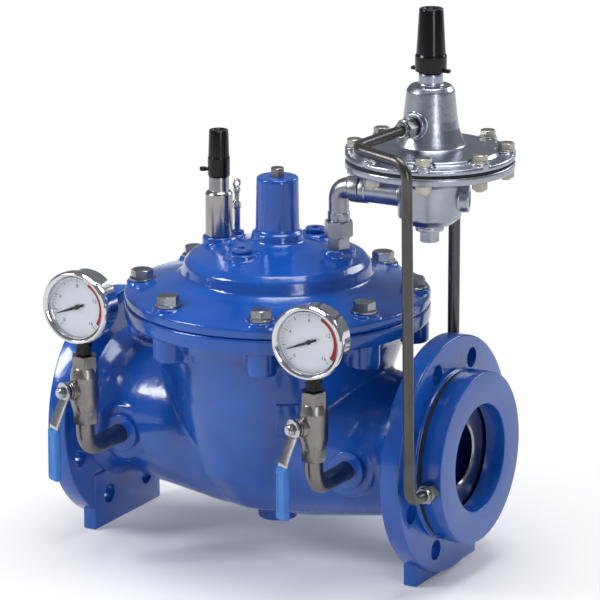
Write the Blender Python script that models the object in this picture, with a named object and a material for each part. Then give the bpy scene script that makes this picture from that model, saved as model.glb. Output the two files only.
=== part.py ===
"""Pilot-operated diaphragm control valve for a DN100 PN16 pipe, as separate pieces.

X runs along the pipe towards the outlet, -Y is the front with the gauges, Z is up.
Sizes are in metres, measured from the pipe axis and from the axis of the cover.
"""

from math import cos, pi, radians, sin, sqrt, tan

import bmesh
import bpy
from mathutils import Matrix, Vector

# Clearances
GAP = 0.0003
RUNNING_GAP = 0.0004
OVERCUT = 0.004
BITE = 0.002

# Pipe flanges
FLANGE_SPACING = 0.370
FLANGE_RADIUS = 0.110
FLANGE_THICKNESS = 0.019
RAISED_FACE_RADIUS = 0.079
RAISED_FACE_HEIGHT = 0.003
PIPE_BORE_RADIUS = 0.050
FLANGE_HOLE_COUNT = 8
FLANGE_HOLE_RADIUS = 0.0095
FLANGE_HOLE_CIRCLE = 0.090
FOOT_HALF_WIDTH = 0.060
FOOT_DEPTH = 0.113
FOOT_THICKNESS = 0.014

# Body casting
NECK_RADIUS = 0.063
BELLY_RADIUS = 0.079
BODY_RIM_RADIUS = 0.1425
BODY_RIM_THICKNESS = 0.014
JOINT_HEIGHT = 0.1223
BOWL_UPPER_RADIUS = 0.121
BOWL_MIDDLE_RADIUS = 0.105
CHAMBER_RADIUS = 0.104
CHAMBER_LOWER_RADIUS = 0.088
SEAT_DECK_HEIGHT = 0.062
INLET_CHAMBER_RADIUS = 0.047
PARTITION_THICKNESS = 0.012
WALL_THICKNESS = 0.010
SEAT_BORE_RADIUS = 0.040
SEAT_SKIRT_RADIUS = 0.046
SEAT_FLANGE_RADIUS = 0.052
SEAT_LIP_RISE = 0.010
DRAIN_BOSS_RADIUS = 0.019
DRAIN_BOSS_DEPTH = 0.089
DRAIN_PLUG_RADIUS = 0.0105
DRAIN_PLUG_LENGTH = 0.014

# Cover casting
COVER_RIM_THICKNESS = 0.0096
COVER_SLOPE_HEIGHT = 0.0265
DOME_RADIUS = 0.088
DOME_HEIGHT = 0.0272
DOME_EDGE_DROP = 0.0125
COVER_WALL = 0.008
TOWER_RADIUS = 0.0204
TOWER_TIP_RADIUS = 0.0196
TOWER_COLLAR_RADIUS = 0.0246
TOWER_COLLAR_HEIGHT = 0.188
TOWER_HEAD_ROOM = 0.012
TOWER_BORE_RADIUS = 0.011
TOWER_PLUG_RADIUS = 0.005
TOWER_PLUG_WIDTH = 0.0115
TOWER_PLUG_HEIGHT = 0.008
COVER_BOLT_COUNT = 8
COVER_BOLT_CIRCLE = 0.127
COVER_BOLT_RADIUS = 0.006
COVER_BOLT_HEAD_WIDTH = 0.0182
COVER_BOLT_HEAD_HEIGHT = 0.0078
COVER_BOLT_LENGTH = 0.052
WASHER_RADIUS = 0.012
WASHER_THICKNESS = 0.0025
BOLT_BOSS_RADIUS = 0.0135
BOLT_BOSS_HEIGHT = 0.137
UNDER_BOSS_DEPTH = 0.036
PORT_BOSS_RADIUS = 0.015
PORT_HOLE_RADIUS = 0.0065
FRONT_PORT = (-0.012, -0.045)
REAR_PORT = (0.010, 0.055)
SPEED_PORT = (-0.0624, 0.0)
PILOT_PORT = (0.058, 0.012)
PORT_PLUG_RADIUS = 0.0095
PORT_PLUG_HEIGHT = 0.004

# Diaphragm and disc assembly
DIAPHRAGM_RADIUS = 0.117
DIAPHRAGM_THICKNESS = 0.0024
DIAPHRAGM_CLAMP_RADIUS = 0.068
STEM_RADIUS = 0.008
STEM_COLLAR_RADIUS = 0.013
STEM_GUIDE_OVERLAP = 0.004
STEM_TOP_HEIGHT = 0.204
GUIDE_HUB_RADIUS = 0.0125
GUIDE_ARM_WIDTH = 0.007
DISC_HOLDER_RADIUS = 0.054
DISC_HOLDER_HEIGHT = 0.018
SEAT_DISC_THICKNESS = 0.006
WASHER_PLATE_THICKNESS = 0.006
STEM_NUT_WIDTH = 0.024
STEM_NUT_HEIGHT = 0.010
VALVE_TRAVEL = 0.024
MAIN_SPRING_RADIUS = 0.032
MAIN_SPRING_WIRE = 0.0022
MAIN_SPRING_TURNS = 4

# Speed valve and vent cock on the cover
SPEED_BODY_RADIUS = 0.01275
SPEED_BODY_HEIGHT = 0.0425
SPEED_NECK_RADIUS = 0.0095
SPEED_NECK_HEIGHT = 0.014
SPEED_CAP_RADIUS = 0.01035
SPEED_CAP_HEIGHT = 0.044
SPEED_NEEDLE_RADIUS = 0.0035
VENT_PORT = (-0.057, 0.024)
VENT_RADIUS = 0.0033
VENT_HEIGHT = 0.050

# Union and elbow between the cover and the pilot
ELBOW_AXIS_HEIGHT = 0.235
ELBOW_RADIUS = 0.0095
UNION_HEX_WIDTH = 0.0195
UNION_NUT_WIDTH = 0.0235
UNION_LENGTH = 0.034
LOCK_NUT_RADIUS = 0.013
LOCK_NUT_LENGTH = 0.0105
ELBOW_REACH = 0.0125

# Pilot valve
PILOT_X = 0.152
PILOT_Y = 0.012
PILOT_BODY_RADIUS = 0.029
PILOT_BODY_BOTTOM = 0.212
PILOT_DISC_RADIUS = 0.0774
PILOT_BODY_HEIGHT = 0.059
PILOT_RIM_THICKNESS = 0.0075
PILOT_UPPER_RIM_THICKNESS = 0.0055
PILOT_DIAPHRAGM_THICKNESS = 0.0014
PILOT_CHAMBER_RADIUS = 0.056
PILOT_ARM_RADIUS = 0.0115
PILOT_ARM_REACH = 0.069
PILOT_BOLT_COUNT = 8
PILOT_BOLT_CIRCLE = 0.0690
PILOT_BOLT_RADIUS = 0.0040
PILOT_BOLT_HEAD_WIDTH = 0.013
PILOT_BOLT_HEAD_HEIGHT = 0.0055
PILOT_BOLT_BOSS_RADIUS = 0.0088
PILOT_BOLT_BOSS_HEIGHT = 0.0030
PILOT_SIDE_PORT_RADIUS = 0.0125
PILOT_SIDE_PORT_TURN = radians(22)
BELL_BASE_RADIUS = 0.031
BELL_TOP_RADIUS = 0.0218
BELL_HEIGHT = 0.069
BELL_NECK_RADIUS = 0.011
BELL_NECK_HEIGHT = 0.0125
BELL_WALL = 0.005
BELL_PORT_RISE = 0.036
BELL_PORT_TURN = radians(-98)
BELL_PORT_RADIUS = 0.012
BELL_PORT_REACH = 0.034
PILOT_CAP_RADIUS = 0.0145
PILOT_CAP_TIP_RADIUS = 0.011
PILOT_CAP_HEIGHT = 0.058
PILOT_CAP_COLLAR_HEIGHT = 0.009
PILOT_SPRING_RADIUS = 0.0120
PILOT_SPRING_WIRE = 0.0016
PILOT_SPRING_TURNS = 5
SPRING_SEAT_RADIUS = 0.0145
SPRING_SEAT_THICKNESS = 0.005
SPRING_SEAT_ROOM = 0.004
ADJUSTER_RADIUS = 0.004
ADJUSTER_LENGTH = 0.046
ADJUSTER_TRAVEL = 0.006
PILOT_BORE_RADIUS = 0.009
POPPET_RADIUS = 0.0065
POPPET_STEM_RADIUS = 0.0022
POPPET_SEAT_RADIUS = 0.0045
POPPET_TRAVEL = 0.0025
BOTTOM_PLUG_WIDTH = 0.017
BOTTOM_PLUG_HEIGHT = 0.015
BOTTOM_PLUG_FLANGE = 0.012

# Sensing tubes
TUBE_RADIUS = 0.005
TUBE_BEND = 0.016
SENSE_CORNER = (0.134, -0.103)
SENSE_CORNER_FALL = 0.0035
SENSE_DROP = (0.198, -0.122)
SENSE_DROP_FALL = 0.007
SENSE_PORT_HEIGHT = -0.0115
TUBE_NUT_WIDTH = 0.0165
TUBE_NUT_LENGTH = 0.012
REAR_TUBE_RADIUS = 0.0055
REAR_TUBE_Y = 0.062
REAR_TUBE_HEIGHT = 0.232
REAR_BOSS_RADIUS = 0.0110
REAR_BOSS_HEIGHT = 0.046

# Orifice ring on the outlet
GASKET_THICKNESS = 0.0042
ORIFICE_RING_RADIUS = 0.0799
ORIFICE_RING_THICKNESS = 0.020
ORIFICE_PLATE_RADIUS = 0.062
ORIFICE_HOLE_RADIUS = 0.0275
ORIFICE_PLATE_THICKNESS = 0.003

# Gauge sets
GAUGE_SET_X = (-0.1305, 0.1105)
GAUGE_SET_INSET = 0.011
GAUGE_BOSS_RADIUS = 0.018
GAUGE_BOSS_FACE = 0.072
GAUGE_PIPE_HEIGHT = -0.0085
GAUGE_PIPE_RADIUS = 0.0085
GAUGE_PIPE_BEND = 0.020
GAUGE_PIPE_INSERT = 0.010
COCK_BOTTOM = 0.0185
COCK_HEX_WIDTH = 0.0215
COCK_HEX_HEIGHT = 0.0165
COCK_HEIGHT = 0.065
COCK_BELLY_RADIUS = 0.013
COCK_BORE_RADIUS = 0.005
BALL_RADIUS = 0.0088
BALL_STEM_RADIUS = 0.0032
COCK_STEM_BOSS_RADIUS = 0.008
COCK_STEM_BOSS_REACH = 0.018
LEVER_TURN = radians(26)
LEVER_STANDOFF = 0.0215
LEVER_HUB_RADIUS = 0.0095
LEVER_THICKNESS = 0.0024
LEVER_WIDTH = 0.0115
LEVER_SLOPE_DROP = 0.030
LEVER_SLOPE_OUT = 0.011
LEVER_BLADE_LENGTH = 0.048
GRIP_LENGTH = 0.050
GRIP_WIDTH = 0.0150
GRIP_THICKNESS = 0.0066
GAUGE_HEIGHT = 0.1315
GAUGE_FRONT = 0.018
GAUGE_DEPTH = 0.028
GAUGE_BEZEL_RADIUS = 0.0345
GAUGE_CASE_RADIUS = 0.0318
GAUGE_DIAL_RADIUS = 0.0285
GAUGE_DIAL_DEPTH = 0.0075
GAUGE_WINDOW_THICKNESS = 0.002
GAUGE_STEM_RADIUS = 0.007
GAUGE_TURNS = (radians(0), radians(6))
POINTER_LENGTH = 0.0235
POINTER_ANGLE = radians(21)

# Segments round a circle
FINE = 24
MEDIUM = 16
ROUND = 12
SMALL = 8
TINY = 8

# Colour, metallic and roughness of each finish
FINISHES = {
    "paint": ((0.02, 0.08, 0.45), 0.0, 0.25),
    "pilot_cast": ((0.42, 0.46, 0.55), 0.8, 0.35),
    "zinc": ((0.55, 0.57, 0.60), 1.0, 0.35),
    "steel": ((0.62, 0.63, 0.65), 1.0, 0.22),
    "dark_tube": ((0.16, 0.17, 0.19), 0.8, 0.35),
    "brass": ((0.55, 0.42, 0.20), 1.0, 0.35),
    "bronze": ((0.52, 0.36, 0.18), 1.0, 0.40),
    "nickel": ((0.45, 0.43, 0.40), 0.9, 0.35),
    "rubber": ((0.02, 0.02, 0.02), 0.0, 0.75),
    "black_plastic": ((0.01, 0.01, 0.01), 0.0, 0.25),
    "blue_plastic": ((0.05, 0.22, 0.65), 0.0, 0.40),
    "dial": ((0.85, 0.87, 0.92), 0.0, 0.45),
    "glass": ((0.90, 0.93, 0.95), 0.0, 0.05),
    "black_paint": ((0.02, 0.02, 0.02), 0.0, 0.45),
}

TURN_TO_X = Matrix.Rotation(pi / 2, 4, "Y")
TURN_TO_FRONT = Matrix.Rotation(pi / 2, 4, "X")


def clear_scene():
    for thing in list(bpy.data.objects):
        bpy.data.objects.remove(thing)


def finish_of(name, finish):
    colour, metallic, roughness = FINISHES[finish]
    material = bpy.data.materials.new(name + "_finish")
    material.use_nodes = True
    shader = material.node_tree.nodes["Principled BSDF"]
    shader.inputs["Base Color"].default_value = (*colour, 1.0)
    shader.inputs["Metallic"].default_value = metallic
    shader.inputs["Roughness"].default_value = roughness
    material.diffuse_color = (*colour, 1.0)
    return material


def axis_empty(name, location, parent=None, turn=0.0):
    """An empty that stands on an axis, turned about Z, and carries what is on that axis."""
    empty = bpy.data.objects.new(name, None)
    bpy.context.scene.collection.objects.link(empty)
    empty.empty_display_size = 0.02
    empty.location = location
    empty.rotation_euler = (0.0, 0.0, turn)
    empty.parent = parent
    return empty


def piece(name, shape, finish, parent, location=(0.0, 0.0, 0.0), rotation=(0.0, 0.0, 0.0)):
    """Make the object of a sub-part from its closed bmesh."""
    bmesh.ops.recalc_face_normals(shape, faces=shape.faces)
    mesh = bpy.data.meshes.new(name)
    shape.to_mesh(mesh)
    shape.free()
    mesh.shade_smooth()
    mesh.set_sharp_from_angle(angle=radians(35))
    mesh.materials.append(finish_of(name, finish))
    made = bpy.data.objects.new(name, mesh)
    bpy.context.scene.collection.objects.link(made)
    made.location = location
    made.rotation_euler = rotation
    made.parent = parent
    return made


def helper_group(target, operation):
    """The collection of helper solids that one Boolean of the target uses, made on first use."""
    name = f"{target.name}_{operation.lower()}"
    group = bpy.data.collections.get(name)
    if group is None:
        group = bpy.data.collections.new(name)
        bpy.context.scene.collection.children.link(group)
        step = target.modifiers.new(name, "BOOLEAN")
        step.operation = operation
        step.solver = "EXACT"
        step.operand_type = "COLLECTION"
        step.collection = group
    return group


def add_helper(target, shape, name, operation):
    """Put a hidden helper solid where the target is, for the target's Boolean."""
    helper = piece(name, shape, "rubber", target.parent, target.location, target.rotation_euler)
    helper.hide_render = True
    helper.display_type = "WIRE"
    bpy.context.scene.collection.objects.unlink(helper)
    helper_group(target, operation).objects.link(helper)


def join(target, shape, name):
    add_helper(target, shape, name, "UNION")


def cut(target, shape, name):
    add_helper(target, shape, name, "DIFFERENCE")


def turned(profile, segments=ROUND, place=Matrix(), shape=None):
    """Turn an outline of (radius, height) points about the Z axis of place.

    An outline that starts and ends on the axis makes a solid, any other one closes on itself.
    """
    shape = shape or bmesh.new()
    flat_start = profile[0][0] < 1e-7 and profile[0][1] == profile[1][1]
    flat_end = profile[-1][0] < 1e-7 and profile[-1][1] == profile[-2][1]
    rings = []
    for radius, height in profile[1 if flat_start else 0 : -1 if flat_end else None]:
        if radius < 1e-7:
            rings.append([shape.verts.new(place @ Vector((0.0, 0.0, height)))])
            continue
        ring = []
        for index in range(segments):
            angle = 2 * pi * index / segments
            ring.append(shape.verts.new(place @ Vector((radius * cos(angle), radius * sin(angle), height))))
        rings.append(ring)
    pairs = list(zip(rings, rings[1:]))
    if profile[0][0] > 1e-7:
        pairs.append((rings[-1], rings[0]))
    if flat_start:
        shape.faces.new(rings[0])
    if flat_end:
        shape.faces.new(rings[-1])
    for lower, upper in pairs:
        for index in range(segments):
            following = (index + 1) % segments
            if len(lower) == 1:
                shape.faces.new((lower[0], upper[following], upper[index]))
            elif len(upper) == 1:
                shape.faces.new((lower[index], lower[following], upper[0]))
            else:
                shape.faces.new((lower[index], lower[following], upper[following], upper[index]))
    return shape


def clear_of(radius, segments, gap=GAP):
    """The radius of a hole whose flats clear a round piece of the given radius, whatever its turn."""
    return (radius + gap) / cos(pi / segments)


def rod(radius, low, high, segments=SMALL, place=Matrix(), shape=None, edge=0.0):
    """A cylinder along Z, with an optional chamfer on both ends."""
    if edge <= 0.0:
        return turned([(0, low), (radius, low), (radius, high), (0, high)], segments, place, shape)
    outline = [(0, low), (radius - edge, low), (radius, low + edge)]
    outline += [(radius, high - edge), (radius - edge, high), (0, high)]
    return turned(outline, segments, place, shape)


def pipe(outer, inner, low, high, segments=ROUND, place=Matrix(), shape=None):
    return turned([(inner, low), (outer, low), (outer, high), (inner, high)], segments, place, shape)


def hex_rod(width, low, high, place=Matrix(), shape=None, chamfer=0.0):
    """A hexagon prism along Z, by its width across flats, with the top corners taken down by the chamfer."""
    radius = width / sqrt(3)
    top = [(radius, high)]
    if chamfer > 0.0:
        top = [(radius, high - chamfer), (radius - 1.6 * chamfer, high)]
    return turned([(0, low), (radius, low), *top, (0, high)], 6, place, shape)


def block(size, centre, shape=None, place=Matrix()):
    shape = shape or bmesh.new()
    fit = place @ Matrix.Translation(centre) @ Matrix.Diagonal((*size, 1.0))
    bmesh.ops.create_cube(shape, size=1.0, matrix=fit)
    return shape


def loft(rings, shape=None):
    """Skin a row of rings that have the same number of points, and cap both ends."""
    shape = shape or bmesh.new()
    rows = [[shape.verts.new(point) for point in ring] for ring in rings]
    count = len(rows[0])
    for lower, upper in zip(rows, rows[1:]):
        for index in range(count):
            following = (index + 1) % count
            shape.faces.new((lower[index], lower[following], upper[following], upper[index]))
    shape.faces.new(list(reversed(rows[0])))
    shape.faces.new(rows[-1])
    return shape


def ellipse_at(x, height, half_width, half_height, segments=MEDIUM):
    """The points of an ellipse across the pipe axis."""
    angles = [2 * pi * index / segments for index in range(segments)]
    return [Vector((x, half_width * cos(a), height + half_height * sin(a))) for a in angles]


def rounded_route(corners, bend, steps=4):
    """A route through the corners, with each inner corner replaced by an arc of the bend radius."""
    corners = [Vector(corner) for corner in corners]
    route = [corners[0]]
    for before, corner, after in zip(corners, corners[1:], corners[2:]):
        towards = (before - corner).normalized()
        away = (after - corner).normalized()
        half = towards.angle(away) / 2
        reach = bend / tan(half)
        centre = corner + (towards + away).normalized() * (bend / sin(half))
        start = corner + towards * reach - centre
        end = corner + away * reach - centre
        sweep = start.angle(end)
        for index in range(steps + 1):
            share = index / steps
            mix = start * sin((1 - share) * sweep) + end * sin(share * sweep)
            route.append(centre + mix / sin(sweep))
    route.append(corners[-1])
    return route


def swept(route, radius, sides=TINY, shape=None):
    """A round rod along a route, its rings carried along without twist."""
    points = [Vector(point) for point in route]
    steps = [(b - a).normalized() for a, b in zip(points, points[1:])]
    headings = [steps[0]] + [(a + b).normalized() for a, b in zip(steps, steps[1:])] + [steps[-1]]
    side = headings[0].orthogonal().normalized()
    rings = []
    for index, (point, heading) in enumerate(zip(points, headings)):
        if index:
            side = headings[index - 1].rotation_difference(heading) @ side
        other = heading.cross(side)
        stretch = 1.0
        if 0 < index < len(points) - 1:
            stretch = 1.0 / cos(steps[index - 1].angle(steps[index]) / 2)
        angles = [2 * pi * number / sides for number in range(sides)]
        rings.append([point + (side * cos(a) + other * sin(a)) * radius * stretch for a in angles])
    return loft(rings, shape)


def coil(mean_radius, wire_radius, low, high, turns, sides=4, steps=10):
    """An open compression spring about Z, its wire centre running from low to high."""
    count = int(turns * steps)
    rings = []
    for index in range(count + 1):
        angle = 2 * pi * index / steps
        height = low + (high - low) * index / count
        outwards = Vector((cos(angle), sin(angle), 0.0))
        rings.append(
            [
                outwards * (mean_radius + wire_radius * cos(2 * pi * number / sides))
                + Vector((0.0, 0.0, height + wire_radius * sin(2 * pi * number / sides)))
                for number in range(sides)
            ]
        )
    return loft(rings)


def around(count, radius, offset=0.0):
    """Places on a circle about Z, as matrices, with the first one at the offset angle."""
    for index in range(count):
        yield Matrix.Rotation(offset + 2 * pi * index / count, 4, "Z") @ Matrix.Translation((radius, 0, 0))


def ports(*places):
    return [Matrix.Translation((x, y, 0.0)) for x, y in places]


FLANGE_PLANE = FLANGE_SPACING / 2
FACE_PLANE = FLANGE_PLANE + RAISED_FACE_HEIGHT
FLANGE_BACK = FLANGE_PLANE - FLANGE_THICKNESS
HALF_HOLE_STEP = pi / FLANGE_HOLE_COUNT
HALF_BOLT_STEP = pi / COVER_BOLT_COUNT
HALF_PILOT_STEP = pi / PILOT_BOLT_COUNT
BODY_TOP = JOINT_HEIGHT - GAP / 2
COVER_BOTTOM = JOINT_HEIGHT + GAP / 2
COVER_RIM_TOP = COVER_BOTTOM + COVER_RIM_THICKNESS
DOME_BASE_HEIGHT = JOINT_HEIGHT + COVER_SLOPE_HEIGHT
DOME_TOP_HEIGHT = DOME_BASE_HEIGHT + DOME_HEIGHT
DOME_EDGE_HEIGHT = DOME_TOP_HEIGHT - DOME_EDGE_DROP
SEAT_LIP_HEIGHT = SEAT_DECK_HEIGHT + SEAT_LIP_RISE
GAUGE_SET_Y = GAUGE_SET_INSET - BODY_RIM_RADIUS
SEAT_DISC_BOTTOM = SEAT_LIP_HEIGHT + GAP
HOLDER_BOTTOM = SEAT_DISC_BOTTOM + SEAT_DISC_THICKNESS / 2
HOLDER_TOP = HOLDER_BOTTOM + DISC_HOLDER_HEIGHT
DIAPHRAGM_CENTRE_BOTTOM = HOLDER_TOP + GAP
PLATE_BOTTOM = DIAPHRAGM_CENTRE_BOTTOM + DIAPHRAGM_THICKNESS + GAP
PLATE_TOP = PLATE_BOTTOM + WASHER_PLATE_THICKNESS
DOME_CEILING = DOME_EDGE_HEIGHT - COVER_WALL / 2
OUTLET_CUT_START = INLET_CHAMBER_RADIUS + PARTITION_THICKNESS
BOSS_TOP = DOME_TOP_HEIGHT
STEM_FOOT_HEIGHT = SEAT_DECK_HEIGHT - PARTITION_THICKNESS - VALVE_TRAVEL + STEM_GUIDE_OVERLAP
TOWER_HEIGHT = STEM_TOP_HEIGHT + VALVE_TRAVEL + TOWER_HEAD_ROOM
PILOT_JOINT_HEIGHT = PILOT_BODY_BOTTOM + PILOT_BODY_HEIGHT
BELL_TOP_HEIGHT = PILOT_JOINT_HEIGHT + BELL_HEIGHT
BELL_PORT_HEIGHT = PILOT_JOINT_HEIGHT + BELL_PORT_RISE


def make_valve_body(frame):
    """The globe casting: pipe necks, bowl and rim, with the flow path rising through the seat deck."""
    half = [
        (0.0, FACE_PLANE),
        (RAISED_FACE_RADIUS, FACE_PLANE),
        (RAISED_FACE_RADIUS, FLANGE_PLANE),
        (FLANGE_RADIUS, FLANGE_PLANE),
        (FLANGE_RADIUS, FLANGE_BACK),
        (NECK_RADIUS + 0.008, FLANGE_BACK),
        (NECK_RADIUS + 0.001, FLANGE_BACK - 0.008),
        ((2 * NECK_RADIUS + BELLY_RADIUS) / 3, 0.70 * FLANGE_BACK),
        (BELLY_RADIUS, 0.25 * FLANGE_BACK),
    ]
    outline = [(radius, -along) for radius, along in half] + list(reversed(half))
    body = piece("valve_body", turned(outline, FINE, TURN_TO_X), "paint", frame)

    bowl_outline = [
        (0.0, -0.070),
        (0.050, -0.070),
        (0.080, -0.035),
        (0.095, 0.010),
        (BOWL_MIDDLE_RADIUS, 0.050),
        (BOWL_UPPER_RADIUS, BODY_TOP - BODY_RIM_THICKNESS - 0.010),
        (BOWL_UPPER_RADIUS + 0.006, BODY_TOP - BODY_RIM_THICKNESS),
        (BODY_RIM_RADIUS, BODY_TOP - BODY_RIM_THICKNESS),
        (BODY_RIM_RADIUS, BODY_TOP),
        (0.0, BODY_TOP),
    ]
    join(body, turned(bowl_outline, FINE), "bowl")

    under_bosses = bmesh.new()
    for place in around(COVER_BOLT_COUNT, COVER_BOLT_CIRCLE, HALF_BOLT_STEP):
        rod(
            BOLT_BOSS_RADIUS,
            BODY_TOP - UNDER_BOSS_DEPTH,
            BODY_TOP - BODY_RIM_THICKNESS + BITE,
            TINY,
            place,
            under_bosses,
        )
    join(body, under_bosses, "under_bosses")

    feet = bmesh.new()
    foot_height = FOOT_DEPTH - NECK_RADIUS * 0.9
    foot_centre = -FOOT_DEPTH + foot_height / 2
    for side in (-1, 1):
        along = side * (FLANGE_BACK - 0.0015 + FOOT_THICKNESS / 2)
        block((FOOT_THICKNESS, 2 * FOOT_HALF_WIDTH, foot_height), (along, 0, foot_centre), feet)
    join(body, feet, "feet")

    bosses = rod(DRAIN_BOSS_RADIUS, -DRAIN_BOSS_DEPTH, -BELLY_RADIUS + 0.016, ROUND)
    for along in GAUGE_SET_X:
        place = Matrix.Translation((along, 0, GAUGE_PIPE_HEIGHT)) @ TURN_TO_FRONT
        rod(GAUGE_BOSS_RADIUS, PIPE_BORE_RADIUS + 0.003, GAUGE_BOSS_FACE, ROUND, place, bosses, 0.0015)
    rear_place = Matrix.Translation((PILOT_X, REAR_TUBE_Y, 0))
    rod(REAR_BOSS_RADIUS, -0.004, REAR_BOSS_HEIGHT, SMALL, rear_place, bosses)
    join(body, bosses, "bosses")

    inlet = loft(
        [
            ellipse_at(-FACE_PLANE - OVERCUT, 0.0, PIPE_BORE_RADIUS, PIPE_BORE_RADIUS),
            ellipse_at(-0.45 * FLANGE_BACK, 0.0, PIPE_BORE_RADIUS, PIPE_BORE_RADIUS),
            ellipse_at(-0.01, -0.006, 0.9 * INLET_CHAMBER_RADIUS, 0.9 * INLET_CHAMBER_RADIUS),
        ]
    )
    cut(body, inlet, "inlet_passage")
    chamber_floor = -BELLY_RADIUS + WALL_THICKNESS
    deck_bottom = SEAT_DECK_HEIGHT - PARTITION_THICKNESS
    lower_chamber = [
        (0.0, chamber_floor),
        (0.70 * INLET_CHAMBER_RADIUS, chamber_floor + 0.004),
        (INLET_CHAMBER_RADIUS, chamber_floor + 0.045),
        (INLET_CHAMBER_RADIUS, deck_bottom - 0.008),
        (SEAT_BORE_RADIUS, deck_bottom),
        (0.0, deck_bottom),
    ]
    cut(body, turned(lower_chamber, ROUND), "lower_chamber")
    cut(
        body,
        rod(SEAT_SKIRT_RADIUS + GAP, deck_bottom - OVERCUT, SEAT_DECK_HEIGHT + OVERCUT, MEDIUM),
        "seat_hole",
    )
    upper_chamber = [
        (0.0, SEAT_DECK_HEIGHT),
        (SEAT_FLANGE_RADIUS + 0.010, SEAT_DECK_HEIGHT),
        (CHAMBER_LOWER_RADIUS, SEAT_DECK_HEIGHT + 0.012),
        (CHAMBER_RADIUS, BODY_TOP - 0.020),
        (CHAMBER_RADIUS, BODY_TOP + OVERCUT),
        (0.0, BODY_TOP + OVERCUT),
    ]
    cut(body, turned(upper_chamber, MEDIUM), "upper_chamber")
    outlet = loft(
        [
            ellipse_at(OUTLET_CUT_START, 0.046, 0.030, 0.033),
            ellipse_at(OUTLET_CUT_START + 0.034, 0.010, 0.050, 0.052),
            ellipse_at(OUTLET_CUT_START + 0.058, 0.0, PIPE_BORE_RADIUS, PIPE_BORE_RADIUS),
            ellipse_at(FACE_PLANE + OVERCUT, 0.0, PIPE_BORE_RADIUS, PIPE_BORE_RADIUS),
        ]
    )
    cut(body, outlet, "outlet_passage")
    recess = rod(DIAPHRAGM_RADIUS + GAP, BODY_TOP - DIAPHRAGM_THICKNESS - GAP, BODY_TOP + OVERCUT, MEDIUM)
    cut(body, recess, "diaphragm_recess")

    holes = bmesh.new()
    for side in (-1, 1):
        for place in around(FLANGE_HOLE_COUNT, FLANGE_HOLE_CIRCLE, HALF_HOLE_STEP):
            span = sorted((side * (FLANGE_BACK - OVERCUT), side * (FACE_PLANE + OVERCUT)))
            rod(FLANGE_HOLE_RADIUS, *span, TINY, TURN_TO_X @ place, holes)
    cut(body, holes, "flange_holes")
    threads = bmesh.new()
    for place in around(COVER_BOLT_COUNT, COVER_BOLT_CIRCLE, HALF_BOLT_STEP):
        rod(clear_of(COVER_BOLT_RADIUS, 6), BODY_TOP - 0.045, BODY_TOP + OVERCUT, 6, place, threads)
    cut(body, threads, "bolt_holes")
    taps = bmesh.new()
    for along in GAUGE_SET_X:
        place = Matrix.Translation((along, 0, GAUGE_PIPE_HEIGHT)) @ TURN_TO_FRONT
        rod(
            clear_of(GAUGE_PIPE_RADIUS, SMALL),
            GAUGE_BOSS_FACE - 0.014,
            GAUGE_BOSS_FACE + OVERCUT,
            SMALL,
            place,
            taps,
        )
    rod(
        clear_of(REAR_TUBE_RADIUS, TINY),
        REAR_BOSS_HEIGHT - 0.010,
        REAR_BOSS_HEIGHT + OVERCUT,
        TINY,
        rear_place,
        taps,
    )
    rod(
        DRAIN_PLUG_RADIUS + GAP,
        -DRAIN_BOSS_DEPTH - OVERCUT,
        -DRAIN_BOSS_DEPTH + DRAIN_PLUG_LENGTH,
        SMALL,
        shape=taps,
    )
    cut(body, taps, "taps")
    return body


def make_seat_ring(frame):
    """Bronze seat with a raised lip, a skirt down through the deck and a three-armed stem guide."""
    bottom = SEAT_DECK_HEIGHT - PARTITION_THICKNESS
    outline = [
        (SEAT_BORE_RADIUS, bottom),
        (SEAT_SKIRT_RADIUS, bottom),
        (SEAT_SKIRT_RADIUS, SEAT_DECK_HEIGHT + GAP),
        (SEAT_FLANGE_RADIUS, SEAT_DECK_HEIGHT + GAP),
        (SEAT_FLANGE_RADIUS, SEAT_LIP_HEIGHT - 0.004),
        (SEAT_BORE_RADIUS + 0.004, SEAT_LIP_HEIGHT - 0.003),
        (SEAT_BORE_RADIUS + 0.002, SEAT_LIP_HEIGHT),
        (SEAT_BORE_RADIUS, SEAT_LIP_HEIGHT),
    ]
    ring = piece("seat_ring", turned(outline, MEDIUM), "bronze", frame)
    guide = rod(GUIDE_HUB_RADIUS, bottom, SEAT_DECK_HEIGHT, ROUND)
    join(ring, guide, "guide_hub")
    for index in range(3):
        spin = Matrix.Rotation(2 * pi * index / 3 + pi / 2, 4, "Z")
        length = SEAT_BORE_RADIUS - GUIDE_HUB_RADIUS + 2 * BITE
        centre = (GUIDE_HUB_RADIUS - BITE + length / 2, 0, bottom + 0.0045)
        join(ring, block((length, GUIDE_ARM_WIDTH, 0.008), centre, place=spin), f"guide_arm_{index}")
    cut(
        ring,
        rod(STEM_RADIUS + RUNNING_GAP, bottom - OVERCUT, SEAT_DECK_HEIGHT + OVERCUT, ROUND),
        "guide_bore",
    )


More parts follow.
